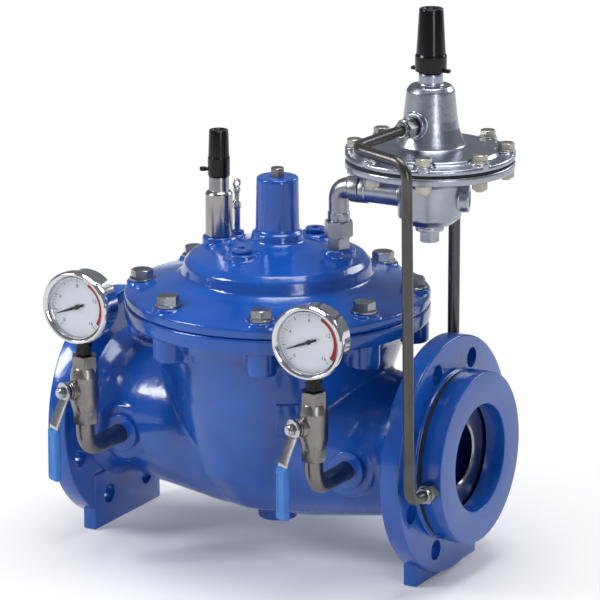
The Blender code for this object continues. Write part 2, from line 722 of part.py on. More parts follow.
def make_cover(frame):
    """The cover casting: sloping rim, domed top and the tower that guides the stem."""
    outline = [
        (CHAMBER_RADIUS, COVER_BOTTOM),
        (BODY_RIM_RADIUS, COVER_BOTTOM),
        (BODY_RIM_RADIUS, COVER_RIM_TOP),
        (DOME_RADIUS + 0.008, DOME_BASE_HEIGHT - 0.004),
        (DOME_RADIUS + 0.001, DOME_BASE_HEIGHT),
        (DOME_RADIUS - 0.0025, DOME_EDGE_HEIGHT - 0.002),
        (DOME_RADIUS - 0.008, DOME_EDGE_HEIGHT + 0.0025),
        (TOWER_COLLAR_RADIUS + 0.0085, DOME_TOP_HEIGHT),
        (TOWER_COLLAR_RADIUS, DOME_TOP_HEIGHT + 0.006),
        (TOWER_COLLAR_RADIUS - 0.001, TOWER_COLLAR_HEIGHT),
        (TOWER_RADIUS, TOWER_COLLAR_HEIGHT + 0.0015),
        (TOWER_TIP_RADIUS, TOWER_HEIGHT),
        (TOWER_PLUG_RADIUS + GAP, TOWER_HEIGHT),
        (TOWER_PLUG_RADIUS + GAP, TOWER_HEIGHT - 0.008),
        (TOWER_BORE_RADIUS, TOWER_HEIGHT - 0.008),
        (TOWER_BORE_RADIUS, TOWER_COLLAR_HEIGHT + 0.004),
        (STEM_RADIUS + RUNNING_GAP, TOWER_COLLAR_HEIGHT + 0.002),
        (STEM_RADIUS + RUNNING_GAP, DOME_CEILING + 0.002),
        (DOME_RADIUS - 2.6 * COVER_WALL, DOME_CEILING),
        (DOME_RADIUS - COVER_WALL, DOME_BASE_HEIGHT - COVER_WALL - 0.002),
        (CHAMBER_RADIUS - 0.003, COVER_RIM_TOP - 0.002),
    ]
    cover = piece("cover", turned(outline, FINE), "paint", frame)
    bosses = bmesh.new()
    for place in around(COVER_BOLT_COUNT, COVER_BOLT_CIRCLE, HALF_BOLT_STEP):
        rod(BOLT_BOSS_RADIUS, COVER_BOTTOM + BITE, BOLT_BOSS_HEIGHT + BITE, TINY, place, bosses)
    join(cover, bosses, "bolt_bosses")
    raised = bmesh.new()
    for place in ports(SPEED_PORT, PILOT_PORT, FRONT_PORT, REAR_PORT):
        rod(PORT_BOSS_RADIUS, DOME_CEILING + BITE, BOSS_TOP, SMALL, place, raised)
    vent_place = Matrix.Translation((*VENT_PORT, 0))
    rod(2 * VENT_RADIUS, DOME_CEILING + BITE, BOSS_TOP, TINY, vent_place, raised)
    join(cover, raised, "port_bosses")
    holes = bmesh.new()
    bolt_hole = clear_of(COVER_BOLT_RADIUS, TINY)
    spot_face = clear_of(WASHER_RADIUS, TINY)
    spot_outline = [
        (0.0, COVER_BOTTOM - OVERCUT),
        (bolt_hole, COVER_BOTTOM - OVERCUT),
        (bolt_hole, BOLT_BOSS_HEIGHT),
        (spot_face, BOLT_BOSS_HEIGHT),
        (spot_face, BOLT_BOSS_HEIGHT + 3 * OVERCUT),
        (0.0, BOLT_BOSS_HEIGHT + 3 * OVERCUT),
    ]
    for place in around(COVER_BOLT_COUNT, COVER_BOLT_CIRCLE, HALF_BOLT_STEP):
        turned(spot_outline, TINY, place, holes)
    for place in ports(SPEED_PORT, PILOT_PORT, FRONT_PORT, REAR_PORT):
        rod(
            clear_of(PORT_HOLE_RADIUS, TINY),
            DOME_CEILING - 2 * OVERCUT,
            BOSS_TOP + OVERCUT,
            TINY,
            place,
            holes,
        )
    rod(clear_of(VENT_RADIUS, 6), BOSS_TOP - 0.006, BOSS_TOP + OVERCUT, 6, vent_place, holes)
    cut(cover, holes, "cover_holes")


def make_disc_assembly(frame):
    """Everything that rises with the stem, and the diaphragm and spring that follow it."""
    lift = axis_empty("main_lift_axis", (0.0, 0.0, SEAT_LIP_HEIGHT), frame)
    drop = -SEAT_LIP_HEIGHT

    stem_outline = [
        (0.0, STEM_FOOT_HEIGHT + drop),
        (STEM_RADIUS, STEM_FOOT_HEIGHT + drop),
        (STEM_RADIUS, HOLDER_BOTTOM - 0.006 + drop),
        (STEM_COLLAR_RADIUS, HOLDER_BOTTOM - 0.006 + drop),
        (STEM_COLLAR_RADIUS, HOLDER_BOTTOM - GAP + drop),
        (STEM_RADIUS, HOLDER_BOTTOM - GAP + drop),
        (STEM_RADIUS, STEM_TOP_HEIGHT - 0.002 + drop),
        (STEM_RADIUS - 0.002, STEM_TOP_HEIGHT + drop),
        (0.0, STEM_TOP_HEIGHT + drop),
    ]
    piece("main_stem", turned(stem_outline, ROUND), "steel", lift)

    bore = STEM_RADIUS + GAP
    disc_top = SEAT_DISC_BOTTOM + SEAT_DISC_THICKNESS
    lip = SEAT_BORE_RADIUS - 0.006
    holder_outline = [
        (bore, HOLDER_BOTTOM + drop),
        (lip - GAP, HOLDER_BOTTOM + drop),
        (lip - GAP, disc_top + GAP + drop),
        (SEAT_FLANGE_RADIUS - 0.003, disc_top + GAP + drop),
        (SEAT_FLANGE_RADIUS - 0.003, HOLDER_BOTTOM + drop),
        (DISC_HOLDER_RADIUS, HOLDER_BOTTOM + drop),
        (DISC_HOLDER_RADIUS, disc_top + 0.004 + drop),
        (DIAPHRAGM_CLAMP_RADIUS - 0.004, HOLDER_TOP - 0.003 + drop),
        (DIAPHRAGM_CLAMP_RADIUS - 0.004, HOLDER_TOP + drop),
        (bore, HOLDER_TOP + drop),
    ]
    piece("disc_holder", turned(holder_outline, MEDIUM), "zinc", lift)
    seat_disc = pipe(SEAT_FLANGE_RADIUS - 0.003 - GAP, lip, SEAT_DISC_BOTTOM + drop, disc_top + drop, MEDIUM)
    piece("seat_disc", seat_disc, "rubber", lift)

    plate_outline = [
        (bore, PLATE_BOTTOM + drop),
        (DIAPHRAGM_CLAMP_RADIUS - 0.003, PLATE_BOTTOM + drop),
        (DIAPHRAGM_CLAMP_RADIUS, PLATE_BOTTOM + 0.003 + drop),
        (DIAPHRAGM_CLAMP_RADIUS - 0.002, PLATE_TOP + drop),
        (bore, PLATE_TOP + drop),
    ]
    piece("diaphragm_washer", turned(plate_outline, MEDIUM), "zinc", lift)
    nut = hex_rod(STEM_NUT_WIDTH, PLATE_TOP + GAP + drop, PLATE_TOP + GAP + STEM_NUT_HEIGHT + drop)
    nut = piece("stem_nut", nut, "zinc", lift)
    cut(
        nut,
        rod(STEM_RADIUS + GAP, PLATE_TOP - OVERCUT + drop, PLATE_TOP + 2 * STEM_NUT_HEIGHT + drop, ROUND),
        "nut_bore",
    )

    rim_low = BODY_TOP - DIAPHRAGM_THICKNESS
    middle = DIAPHRAGM_CENTRE_BOTTOM
    upper = [
        (STEM_RADIUS + GAP, middle + DIAPHRAGM_THICKNESS),
        (DIAPHRAGM_CLAMP_RADIUS + 0.004, middle + DIAPHRAGM_THICKNESS),
        (CHAMBER_RADIUS - 0.006, BODY_TOP - 0.005),
        (CHAMBER_RADIUS - 0.001, BODY_TOP),
        (DIAPHRAGM_RADIUS, BODY_TOP),
    ]
    lower = [
        (DIAPHRAGM_RADIUS, rim_low),
        (CHAMBER_RADIUS, rim_low),
        (CHAMBER_RADIUS - 0.004, rim_low - 0.005),
        (DIAPHRAGM_CLAMP_RADIUS + 0.005, middle),
        (STEM_RADIUS + GAP, middle),
    ]
    piece("main_diaphragm", turned(upper + lower, MEDIUM), "rubber", frame)

    spring_low = PLATE_TOP + GAP + MAIN_SPRING_WIRE
    spring_high = DOME_CEILING - GAP - MAIN_SPRING_WIRE
    spring = coil(MAIN_SPRING_RADIUS, MAIN_SPRING_WIRE, spring_low, spring_high, MAIN_SPRING_TURNS)
    piece("main_spring", spring, "steel", frame)


def make_cover_bolts(frame):
    """Hex bolts with their washers, through the cover rim into the body rim."""
    seat = BOLT_BOSS_HEIGHT + GAP
    head = seat + WASHER_THICKNESS
    for number, place in enumerate(around(COVER_BOLT_COUNT, COVER_BOLT_CIRCLE, HALF_BOLT_STEP), start=1):
        outline = [
            (0.0, seat - COVER_BOLT_LENGTH + 0.002),
            (COVER_BOLT_RADIUS, seat - COVER_BOLT_LENGTH + 0.002),
            (COVER_BOLT_RADIUS, seat),
            (WASHER_RADIUS, seat),
            (WASHER_RADIUS, head),
            (0.0, head),
        ]
        bolt = piece(f"cover_bolt_{number}", turned(outline, TINY), "zinc", frame, place.translation)
        join(
            bolt,
            hex_rod(COVER_BOLT_HEAD_WIDTH, head - BITE / 2, head + COVER_BOLT_HEAD_HEIGHT),
            f"head_{number}",
        )


def make_plugs(frame):
    """Plugs that close the tower, the spare cover ports and the drain."""
    seat = TOWER_HEIGHT + GAP
    plug = piece("tower_plug", rod(TOWER_PLUG_RADIUS, seat - 0.0075, seat + BITE, SMALL), "zinc", frame)
    join(plug, hex_rod(TOWER_PLUG_WIDTH, seat, seat + TOWER_PLUG_HEIGHT, chamfer=0.001), "tower_plug_head")
    for name, port in (("front_port_plug", FRONT_PORT), ("rear_port_plug", REAR_PORT)):
        low = BOSS_TOP + GAP
        outline = [
            (0.0, low - 0.009),
            (PORT_HOLE_RADIUS, low - 0.009),
            (PORT_HOLE_RADIUS, low),
            (PORT_PLUG_RADIUS, low),
            (PORT_PLUG_RADIUS, low + PORT_PLUG_HEIGHT - 0.001),
            (PORT_PLUG_RADIUS - 0.001, low + PORT_PLUG_HEIGHT),
            (0.0, low + PORT_PLUG_HEIGHT),
        ]
        plug = piece(name, turned(outline, SMALL), "paint", frame, (*port, 0.0))
        cut(plug, hex_rod(0.006, low - 0.003, low + PORT_PLUG_HEIGHT + OVERCUT), name + "_socket")
    drain = rod(DRAIN_PLUG_RADIUS, -DRAIN_BOSS_DEPTH, -DRAIN_BOSS_DEPTH + DRAIN_PLUG_LENGTH - GAP, SMALL)
    drain = piece("drain_plug", drain, "paint", frame)
    cut(drain, hex_rod(0.009, -DRAIN_BOSS_DEPTH - OVERCUT, -DRAIN_BOSS_DEPTH + 0.007), "drain_socket")


def make_speed_valve(frame):
    """The needle valve on the left of the dome, with its needle under a black cap."""
    axis = axis_empty("speed_valve_axis", (*SPEED_PORT, BOSS_TOP + GAP), frame)
    neck_top = SPEED_BODY_HEIGHT + SPEED_NECK_HEIGHT
    outline = [
        (0.0, -0.009),
        (PORT_HOLE_RADIUS, -0.009),
        (PORT_HOLE_RADIUS, 0.0),
        (SPEED_BODY_RADIUS - 0.001, 0.0),
        (SPEED_BODY_RADIUS, 0.001),
        (SPEED_BODY_RADIUS, SPEED_BODY_HEIGHT - 0.0015),
        (SPEED_BODY_RADIUS - 0.0015, SPEED_BODY_HEIGHT),
        (SPEED_NECK_RADIUS, SPEED_BODY_HEIGHT),
        (SPEED_NECK_RADIUS, neck_top),
        (SPEED_NEEDLE_RADIUS + RUNNING_GAP, neck_top),
        (SPEED_NEEDLE_RADIUS + RUNNING_GAP, 0.012),
        (0.0, 0.010),
    ]
    piece("speed_valve_body", turned(outline, ROUND), "steel", axis)
    needle_outline = [
        (0.0, 0.0125),
        (SPEED_NEEDLE_RADIUS - 0.002, 0.016),
        (SPEED_NEEDLE_RADIUS, 0.021),
        (SPEED_NEEDLE_RADIUS, neck_top + 0.012),
        (0.0, neck_top + 0.012),
    ]
    needle = piece("speed_valve_needle", turned(needle_outline, SMALL), "steel", axis)
    cut(needle, block((0.001, 0.02, 0.006), (0, 0, neck_top + 0.013)), "needle_slot")
    cap_low = neck_top + GAP
    cap_outline = [
        (SPEED_NEEDLE_RADIUS + 0.003, cap_low),
        (SPEED_CAP_RADIUS, cap_low),
        (SPEED_CAP_RADIUS, cap_low + 0.006),
        (SPEED_CAP_RADIUS - 0.0008, cap_low + 0.007),
        (SPEED_CAP_RADIUS - 0.0012, cap_low + SPEED_CAP_HEIGHT - 0.002),
        (SPEED_CAP_RADIUS - 0.003, cap_low + SPEED_CAP_HEIGHT),
        (0.0, cap_low + SPEED_CAP_HEIGHT),
    ]
    inner = [(0.0, cap_low + 0.017), (SPEED_NEEDLE_RADIUS + 0.003, cap_low + 0.016)]
    piece(
        "speed_valve_cap",
        turned(list(reversed(cap_outline)) + list(reversed(inner)), ROUND),
        "black_plastic",
        axis,
    )


def make_vent_cock(frame):
    """The slim bleed cock beside the speed valve."""
    low = BOSS_TOP + GAP
    top = low + VENT_HEIGHT
    outline = [
        (0.0, low - 0.0055),
        (VENT_RADIUS, low - 0.0055),
        (VENT_RADIUS, low + 0.020),
        (VENT_RADIUS + 0.0008, low + 0.022),
        (VENT_RADIUS + 0.0008, low + 0.027),
        (VENT_RADIUS - 0.0008, low + 0.029),
        (VENT_RADIUS - 0.0008, top - 0.012),
        (VENT_RADIUS + 0.0004, top - 0.010),
        (VENT_RADIUS - 0.0008, top),
        (0.0, top),
    ]
    piece("vent_cock", turned(outline, TINY), "steel", frame, (*VENT_PORT, 0.0))


def make_pilot_connection(frame):
    """The hexagon union, elbow and lock nut that carry the pilot on the cover."""
    low = BOSS_TOP + GAP
    place = (*PILOT_PORT, 0.0)
    bend_height = low + UNION_LENGTH
    route = [(0, 0, low + 0.5 * BITE), (0, 0, ELBOW_AXIS_HEIGHT), (ELBOW_REACH, 0, ELBOW_AXIS_HEIGHT)]
    elbow = piece(
        "pilot_elbow",
        swept(rounded_route(route, 0.011), ELBOW_RADIUS, ROUND),
        "steel",
        frame,
        place,
    )
    slim = UNION_HEX_WIDTH / sqrt(3)
    wide = UNION_NUT_WIDTH / sqrt(3)
    union_outline = [
        (0.0, low),
        (slim, low),
        (slim, low + 0.0105),
        (wide, low + 0.0115),
        (wide, low + 0.0255),
        (slim, low + 0.0265),
        (slim, bend_height),
        (0.0, bend_height),
    ]
    join(elbow, turned(union_outline, 6), "union_hexes")
    join(elbow, rod(PORT_HOLE_RADIUS, low - 0.009, low + BITE, SMALL), "union_shank")
    nipple_place = Matrix.Translation((0, 0, ELBOW_AXIS_HEIGHT)) @ TURN_TO_X
    nipple_end = PILOT_X - PILOT_PORT[0] - PILOT_ARM_REACH - GAP
    join(elbow, rod(ELBOW_RADIUS - 0.003, ELBOW_REACH - BITE, nipple_end, SMALL, nipple_place), "nipple")
    nut_place = (PILOT_PORT[0] + nipple_end - LOCK_NUT_LENGTH, PILOT_PORT[1], ELBOW_AXIS_HEIGHT)
    lock_nut = pipe(LOCK_NUT_RADIUS, ELBOW_RADIUS - 0.003 + GAP, 0, LOCK_NUT_LENGTH, 12, TURN_TO_X)
    piece("pilot_lock_nut", lock_nut, "steel", frame, nut_place)


def make_pilot(frame):
    """The adjustable pilot: body, diaphragm disc, spring bell, adjuster and cap."""
    axis = axis_empty("pilot_axis", (PILOT_X, PILOT_Y, 0.0), frame)
    rim_top = PILOT_JOINT_HEIGHT
    rim_low = rim_top - PILOT_RIM_THICKNESS
    plug_top = PILOT_BODY_BOTTOM - GAP
    poppet_top = plug_top + 0.021
    poppet_seat = poppet_top + POPPET_TRAVEL + GAP
    outline = [
        (PILOT_BORE_RADIUS + GAP, PILOT_BODY_BOTTOM),
        (PILOT_BODY_RADIUS - 0.008, PILOT_BODY_BOTTOM),
        (PILOT_BODY_RADIUS, PILOT_BODY_BOTTOM + 0.007),
        (PILOT_BODY_RADIUS, rim_low - 0.014),
        (PILOT_BODY_RADIUS + 0.009, rim_low - 0.005),
        (PILOT_BOLT_CIRCLE - 0.0085, rim_low),
        (PILOT_DISC_RADIUS, rim_low),
        (PILOT_DISC_RADIUS, rim_top),
        (PILOT_CHAMBER_RADIUS, rim_top),
        (PILOT_CHAMBER_RADIUS - 0.003, rim_top - 0.003),
        (POPPET_STEM_RADIUS + RUNNING_GAP, rim_top - 0.004),
        (POPPET_STEM_RADIUS + RUNNING_GAP, poppet_seat + 0.006),
        (POPPET_SEAT_RADIUS, poppet_seat + 0.005),
        (POPPET_SEAT_RADIUS, poppet_seat),
        (PILOT_BORE_RADIUS + GAP, poppet_seat),
    ]
    body = piece("pilot_body", turned(outline, MEDIUM + 4), "pilot_cast", axis)
    arm_place = Matrix.Translation((0, 0, ELBOW_AXIS_HEIGHT)) @ Matrix.Rotation(pi, 4, "Z") @ TURN_TO_X
    arms = rod(PILOT_ARM_RADIUS, PILOT_BODY_RADIUS - 0.008, PILOT_ARM_REACH, ROUND, arm_place, edge=0.001)
    join(body, arms, "inlet_arm")
    side_turn = Matrix.Rotation(PILOT_SIDE_PORT_TURN, 4, "Z")
    side_place = Matrix.Translation((0, 0, ELBOW_AXIS_HEIGHT)) @ side_turn @ TURN_TO_X
    side = rod(
        PILOT_SIDE_PORT_RADIUS,
        PILOT_BODY_RADIUS - 0.008,
        PILOT_BODY_RADIUS + 0.007,
        ROUND,
        side_place,
    )
    join(body, side, "side_port")
    rear_place = Matrix.Translation((0, 0, REAR_TUBE_HEIGHT)) @ Matrix.Rotation(pi / 2, 4, "Z") @ TURN_TO_X
    rear = rod(
        REAR_TUBE_RADIUS + 0.004,
        PILOT_BODY_RADIUS - 0.006,
        PILOT_BODY_RADIUS + 0.005,
        SMALL,
        rear_place,
    )
    join(body, rear, "rear_port")
    holes = rod(0.006, PILOT_BODY_RADIUS - 0.006, PILOT_BODY_RADIUS + 0.007 + OVERCUT, SMALL, side_place)
    rod(
        clear_of(REAR_TUBE_RADIUS, TINY),
        PILOT_BODY_RADIUS - 0.003,
        PILOT_BODY_RADIUS + 0.005 + OVERCUT,
        TINY,
        rear_place,
        holes,
    )
    cut(body, holes, "port_holes")
    bolt_clearance = bmesh.new()
    for place in around(PILOT_BOLT_COUNT, PILOT_BOLT_CIRCLE, HALF_PILOT_STEP):
        rod(clear_of(PILOT_BOLT_RADIUS, 6), rim_low - OVERCUT, rim_top + OVERCUT, 6, place, bolt_clearance)
    cut(body, bolt_clearance, "pilot_bolt_holes")

    sheet_low = rim_top + GAP
    sheet_high = sheet_low + PILOT_DIAPHRAGM_THICKNESS
    sheet = piece(
        "pilot_diaphragm",
        rod(PILOT_DISC_RADIUS - 0.0008, sheet_low, sheet_high, MEDIUM + 4),
        "rubber",
        axis,
    )
    sheet_holes = bmesh.new()
    for place in around(PILOT_BOLT_COUNT, PILOT_BOLT_CIRCLE, HALF_PILOT_STEP):
        rod(clear_of(PILOT_BOLT_RADIUS, 6), sheet_low - OVERCUT, sheet_high + OVERCUT, 6, place, sheet_holes)
    cut(sheet, sheet_holes, "sheet_holes")

    bonnet_low = sheet_high + GAP
    bonnet_rim = bonnet_low + PILOT_UPPER_RIM_THICKNESS
    neck_top = BELL_TOP_HEIGHT + BELL_NECK_HEIGHT
    cavity = BELL_TOP_RADIUS - BELL_WALL
    bell = [
        (PILOT_CHAMBER_RADIUS, bonnet_low),
        (PILOT_DISC_RADIUS, bonnet_low),
        (PILOT_DISC_RADIUS, bonnet_rim - 0.001),
        (BELL_BASE_RADIUS + 0.006, bonnet_rim + 0.003),
        (BELL_BASE_RADIUS, bonnet_rim + 0.008),
        (BELL_TOP_RADIUS + 0.0050, bonnet_rim + 0.022),
        (BELL_TOP_RADIUS, BELL_TOP_HEIGHT - 0.003),
        (BELL_TOP_RADIUS - 0.003, BELL_TOP_HEIGHT),
        (BELL_NECK_RADIUS, BELL_TOP_HEIGHT),
        (BELL_NECK_RADIUS, neck_top),
        (ADJUSTER_RADIUS + RUNNING_GAP, neck_top),
        (ADJUSTER_RADIUS + RUNNING_GAP, BELL_TOP_HEIGHT - BELL_WALL),
        (cavity, BELL_TOP_HEIGHT - BELL_WALL),
        (cavity, bonnet_rim + 0.020),
        (BELL_BASE_RADIUS - BELL_WALL, bonnet_rim + 0.004),
        (PILOT_CHAMBER_RADIUS - 0.004, bonnet_low + 0.003),
    ]
    bonnet = piece("pilot_bonnet", turned(bell, MEDIUM + 4), "pilot_cast", axis)
    port_turn = Matrix.Rotation(BELL_PORT_TURN, 4, "Z")
    port_place = Matrix.Translation((0, 0, BELL_PORT_HEIGHT)) @ port_turn @ TURN_TO_X
    collar = rod(BELL_PORT_RADIUS, cavity + 0.002, BELL_PORT_REACH - 0.006, ROUND, port_place)
    join(bonnet, collar, "bell_port")
    port_hole = rod(
        clear_of(TUBE_RADIUS, TINY),
        BELL_PORT_REACH - 0.016,
        BELL_PORT_REACH + OVERCUT,
        TINY,
        port_place,
    )
    bolt_parts = bmesh.new()
    boss_top = bonnet_rim + PILOT_BOLT_BOSS_HEIGHT
    for place in around(PILOT_BOLT_COUNT, PILOT_BOLT_CIRCLE, HALF_PILOT_STEP):
        rod(PILOT_BOLT_BOSS_RADIUS, bonnet_low + BITE, boss_top, TINY, place, bolt_parts)
    join(bonnet, bolt_parts, "pilot_bolt_bosses")
    heads = bmesh.new()
    shanks = bmesh.new()
    nut_radius = PILOT_BOLT_HEAD_WIDTH / sqrt(3)
    shank_outline = [
        (0.0, rim_low - 0.0075),
        (nut_radius, rim_low - 0.0075),
        (nut_radius, rim_low - GAP),
        (PILOT_BOLT_RADIUS, rim_low - GAP),
        (PILOT_BOLT_RADIUS, bonnet_low + BITE),
        (0.0, bonnet_low + BITE),
    ]
    for place in around(PILOT_BOLT_COUNT, PILOT_BOLT_CIRCLE, HALF_PILOT_STEP):
        hex_rod(PILOT_BOLT_HEAD_WIDTH, boss_top - BITE / 2, boss_top + PILOT_BOLT_HEAD_HEIGHT, place, heads)
        turned(shank_outline, 6, place, shanks)
    join(bonnet, heads, "pilot_bolt_heads")
    join(bonnet, shanks, "pilot_bolt_shanks")
    cut(bonnet, port_hole, "bell_port_hole")

    plug_outline = [
        (0.0, plug_top - BITE),
        (BOTTOM_PLUG_FLANGE, plug_top - BITE),
        (BOTTOM_PLUG_FLANGE, plug_top),
        (PILOT_BORE_RADIUS, plug_top),
        (PILOT_BORE_RADIUS, plug_top + 0.010),
        (0.0, plug_top + 0.010),
    ]
    plug = piece("pilot_bottom_plug", turned(plug_outline, ROUND), "pilot_cast", axis)
    hexagon = hex_rod(BOTTOM_PLUG_WIDTH, plug_top - BITE - BOTTOM_PLUG_HEIGHT, plug_top - BITE / 2)
    join(plug, hexagon, "bottom_plug_hex")

    poppet_outline = [
        (0.0, plug_top + 0.014),
        (POPPET_RADIUS, plug_top + 0.014),
        (POPPET_RADIUS, poppet_top),
        (POPPET_STEM_RADIUS, poppet_top),
        (POPPET_STEM_RADIUS, PILOT_JOINT_HEIGHT),
        (0.0, PILOT_JOINT_HEIGHT),
    ]
    piece("pilot_poppet", turned(poppet_outline, SMALL), "brass", axis)

    seat_bottom = BELL_TOP_HEIGHT - BELL_WALL - ADJUSTER_TRAVEL / 2 - SPRING_SEAT_THICKNESS - SPRING_SEAT_ROOM
    spring_low = sheet_high + GAP + PILOT_SPRING_WIRE
    spring_high = seat_bottom - GAP - PILOT_SPRING_WIRE
    spring = coil(
        PILOT_SPRING_RADIUS, PILOT_SPRING_WIRE, spring_low, spring_high, PILOT_SPRING_TURNS, steps=9,
    )
    piece("pilot_spring", spring, "steel", axis)
    seat_top = seat_bottom + SPRING_SEAT_THICKNESS
    seat = rod(SPRING_SEAT_RADIUS, seat_bottom, seat_top, ROUND, edge=0.0008)
    piece("pilot_spring_seat", seat, "brass", axis)
    screw_low = seat_top + GAP
    screw_top = screw_low + ADJUSTER_LENGTH
    screw = piece(
        "pilot_adjusting_screw",
        rod(ADJUSTER_RADIUS, screw_low, screw_top, ROUND, edge=0.0006),
        "steel",
        axis,
    )
    cut(screw, block((0.0012, 0.02, 0.006), (0, 0, screw_top + 0.001)), "screw_slot")

    cap_low = neck_top + GAP
    inner = ADJUSTER_RADIUS + 0.003
    cap_outline = [
        (inner, cap_low),
        (PILOT_CAP_RADIUS - 0.001, cap_low),
        (PILOT_CAP_RADIUS, cap_low + 0.001),
        (PILOT_CAP_RADIUS, cap_low + PILOT_CAP_COLLAR_HEIGHT - 0.002),
        (PILOT_CAP_RADIUS - 0.0012, cap_low + PILOT_CAP_COLLAR_HEIGHT),
        (PILOT_CAP_TIP_RADIUS, cap_low + PILOT_CAP_HEIGHT - 0.002),
        (PILOT_CAP_TIP_RADIUS - 0.002, cap_low + PILOT_CAP_HEIGHT),
        (0.0, cap_low + PILOT_CAP_HEIGHT),
    ]
    cap_inner_top = screw_top - cap_low + 0.006
    cap_inner = [(0.0, cap_low + cap_inner_top), (inner, cap_low + cap_inner_top - 0.001)]
    cap = turned(list(reversed(cap_outline)) + list(reversed(cap_inner)), ROUND)
    cap = piece("pilot_cap", cap, "black_plastic", axis)
    for side in (-1, 1):
        tab = block(
            (0.006, 0.005, PILOT_CAP_COLLAR_HEIGHT - 0.002),
            (side * PILOT_CAP_RADIUS, 0, cap_low + 0.0045),
        )
        join(cap, tab, f"cap_tab_{side + 1}")


def make_tubes(frame):
    """The sensing tube from the bell to the orifice ring, its nuts, and the tube behind."""
    out = Vector((cos(BELL_PORT_TURN), sin(BELL_PORT_TURN), 0.0))
    pilot = Vector((PILOT_X, PILOT_Y, BELL_PORT_HEIGHT))
    start = pilot + out * (BELL_PORT_REACH - 0.015)
    corner = Vector((*SENSE_CORNER, BELL_PORT_HEIGHT - SENSE_CORNER_FALL))
    drop = Vector((*SENSE_DROP, BELL_PORT_HEIGHT - SENSE_DROP_FALL))
    ring_middle = FACE_PLANE + GASKET_THICKNESS + 2 * GAP + ORIFICE_RING_THICKNESS / 2
    ring_side = sqrt(ORIFICE_RING_RADIUS**2 - SENSE_PORT_HEIGHT**2)
    end = Vector((ring_middle, -ring_side + 0.006, SENSE_PORT_HEIGHT))
    foot = Vector((ring_middle, drop.y, SENSE_PORT_HEIGHT))
    corners = [start, corner, drop, foot, end]
    piece("sense_tube", swept(rounded_route(corners, TUBE_BEND), TUBE_RADIUS), "dark_tube", frame)

    to_ring = Matrix.Translation((ring_middle, 0, SENSE_PORT_HEIGHT)) @ TURN_TO_FRONT
    low = ring_side + GAP + 0.001
    nut = piece(
        "sense_tube_ring_nut",
        hex_rod(TUBE_NUT_WIDTH, low, low + TUBE_NUT_LENGTH, to_ring),
        "steel",
        frame,
    )
    bore = clear_of(TUBE_RADIUS, TINY)
    cut(nut, rod(bore, low - OVERCUT, low + TUBE_NUT_LENGTH + OVERCUT, TINY, to_ring), "ring_nut_bore")

    first = (corner - start).normalized()
    lean = Vector((0, 0, 1)).rotation_difference(first).to_matrix().to_4x4()
    to_bell = Matrix.Translation(start) @ lean
    low = 0.015 - 0.006 + GAP + 0.0015
    nut = hex_rod(TUBE_NUT_WIDTH, low, low + TUBE_NUT_LENGTH, to_bell)
    nut = piece("sense_tube_bell_nut", nut, "steel", frame)
    cut(nut, rod(bore, low - OVERCUT, low + TUBE_NUT_LENGTH + OVERCUT, TINY, to_bell), "bell_nut_bore")

    top = Vector((PILOT_X, PILOT_Y + PILOT_BODY_RADIUS, REAR_TUBE_HEIGHT))
    corners = [
        top,
        Vector((PILOT_X, REAR_TUBE_Y, REAR_TUBE_HEIGHT)),
        Vector((PILOT_X, REAR_TUBE_Y, REAR_BOSS_HEIGHT - 0.009)),
    ]
    rear = swept(rounded_route(corners, 0.012), REAR_TUBE_RADIUS)
    piece("rear_tube", rear, "dark_tube", frame)


def make_orifice_ring(frame):
    """The outlet gasket, the orifice plate inside it and the thick ring that takes the sensing tube."""
    low = FACE_PLANE + GAP
    gasket = pipe(
        RAISED_FACE_RADIUS,
        ORIFICE_PLATE_RADIUS + GAP,
        low,
        low + GASKET_THICKNESS - GAP,
        MEDIUM,
        TURN_TO_X,
    )
    piece("flange_gasket", gasket, "rubber", frame)
    plate = pipe(
        ORIFICE_PLATE_RADIUS,
        ORIFICE_HOLE_RADIUS,
        low,
        low + ORIFICE_PLATE_THICKNESS,
        MEDIUM,
        TURN_TO_X,
    )
    piece("orifice_plate", plate, "steel", frame)
    back = FACE_PLANE + GASKET_THICKNESS + GAP
    front = back + ORIFICE_RING_THICKNESS
    outline = [
        (PIPE_BORE_RADIUS, back),
        (ORIFICE_RING_RADIUS, back),
        (ORIFICE_RING_RADIUS, front - 0.001),
        (ORIFICE_RING_RADIUS - 0.001, front),
        (PIPE_BORE_RADIUS, front),
    ]
    ring = piece("orifice_ring", turned(outline, FINE, TURN_TO_X), "paint", frame)
    middle = (back + front) / 2
    place = Matrix.Translation((middle, 0, SENSE_PORT_HEIGHT)) @ TURN_TO_FRONT
    side = sqrt(ORIFICE_RING_RADIUS**2 - SENSE_PORT_HEIGHT**2)
    cut(ring, rod(clear_of(TUBE_RADIUS, TINY), side - 0.008, side + 0.02, TINY, place), "ring_port")


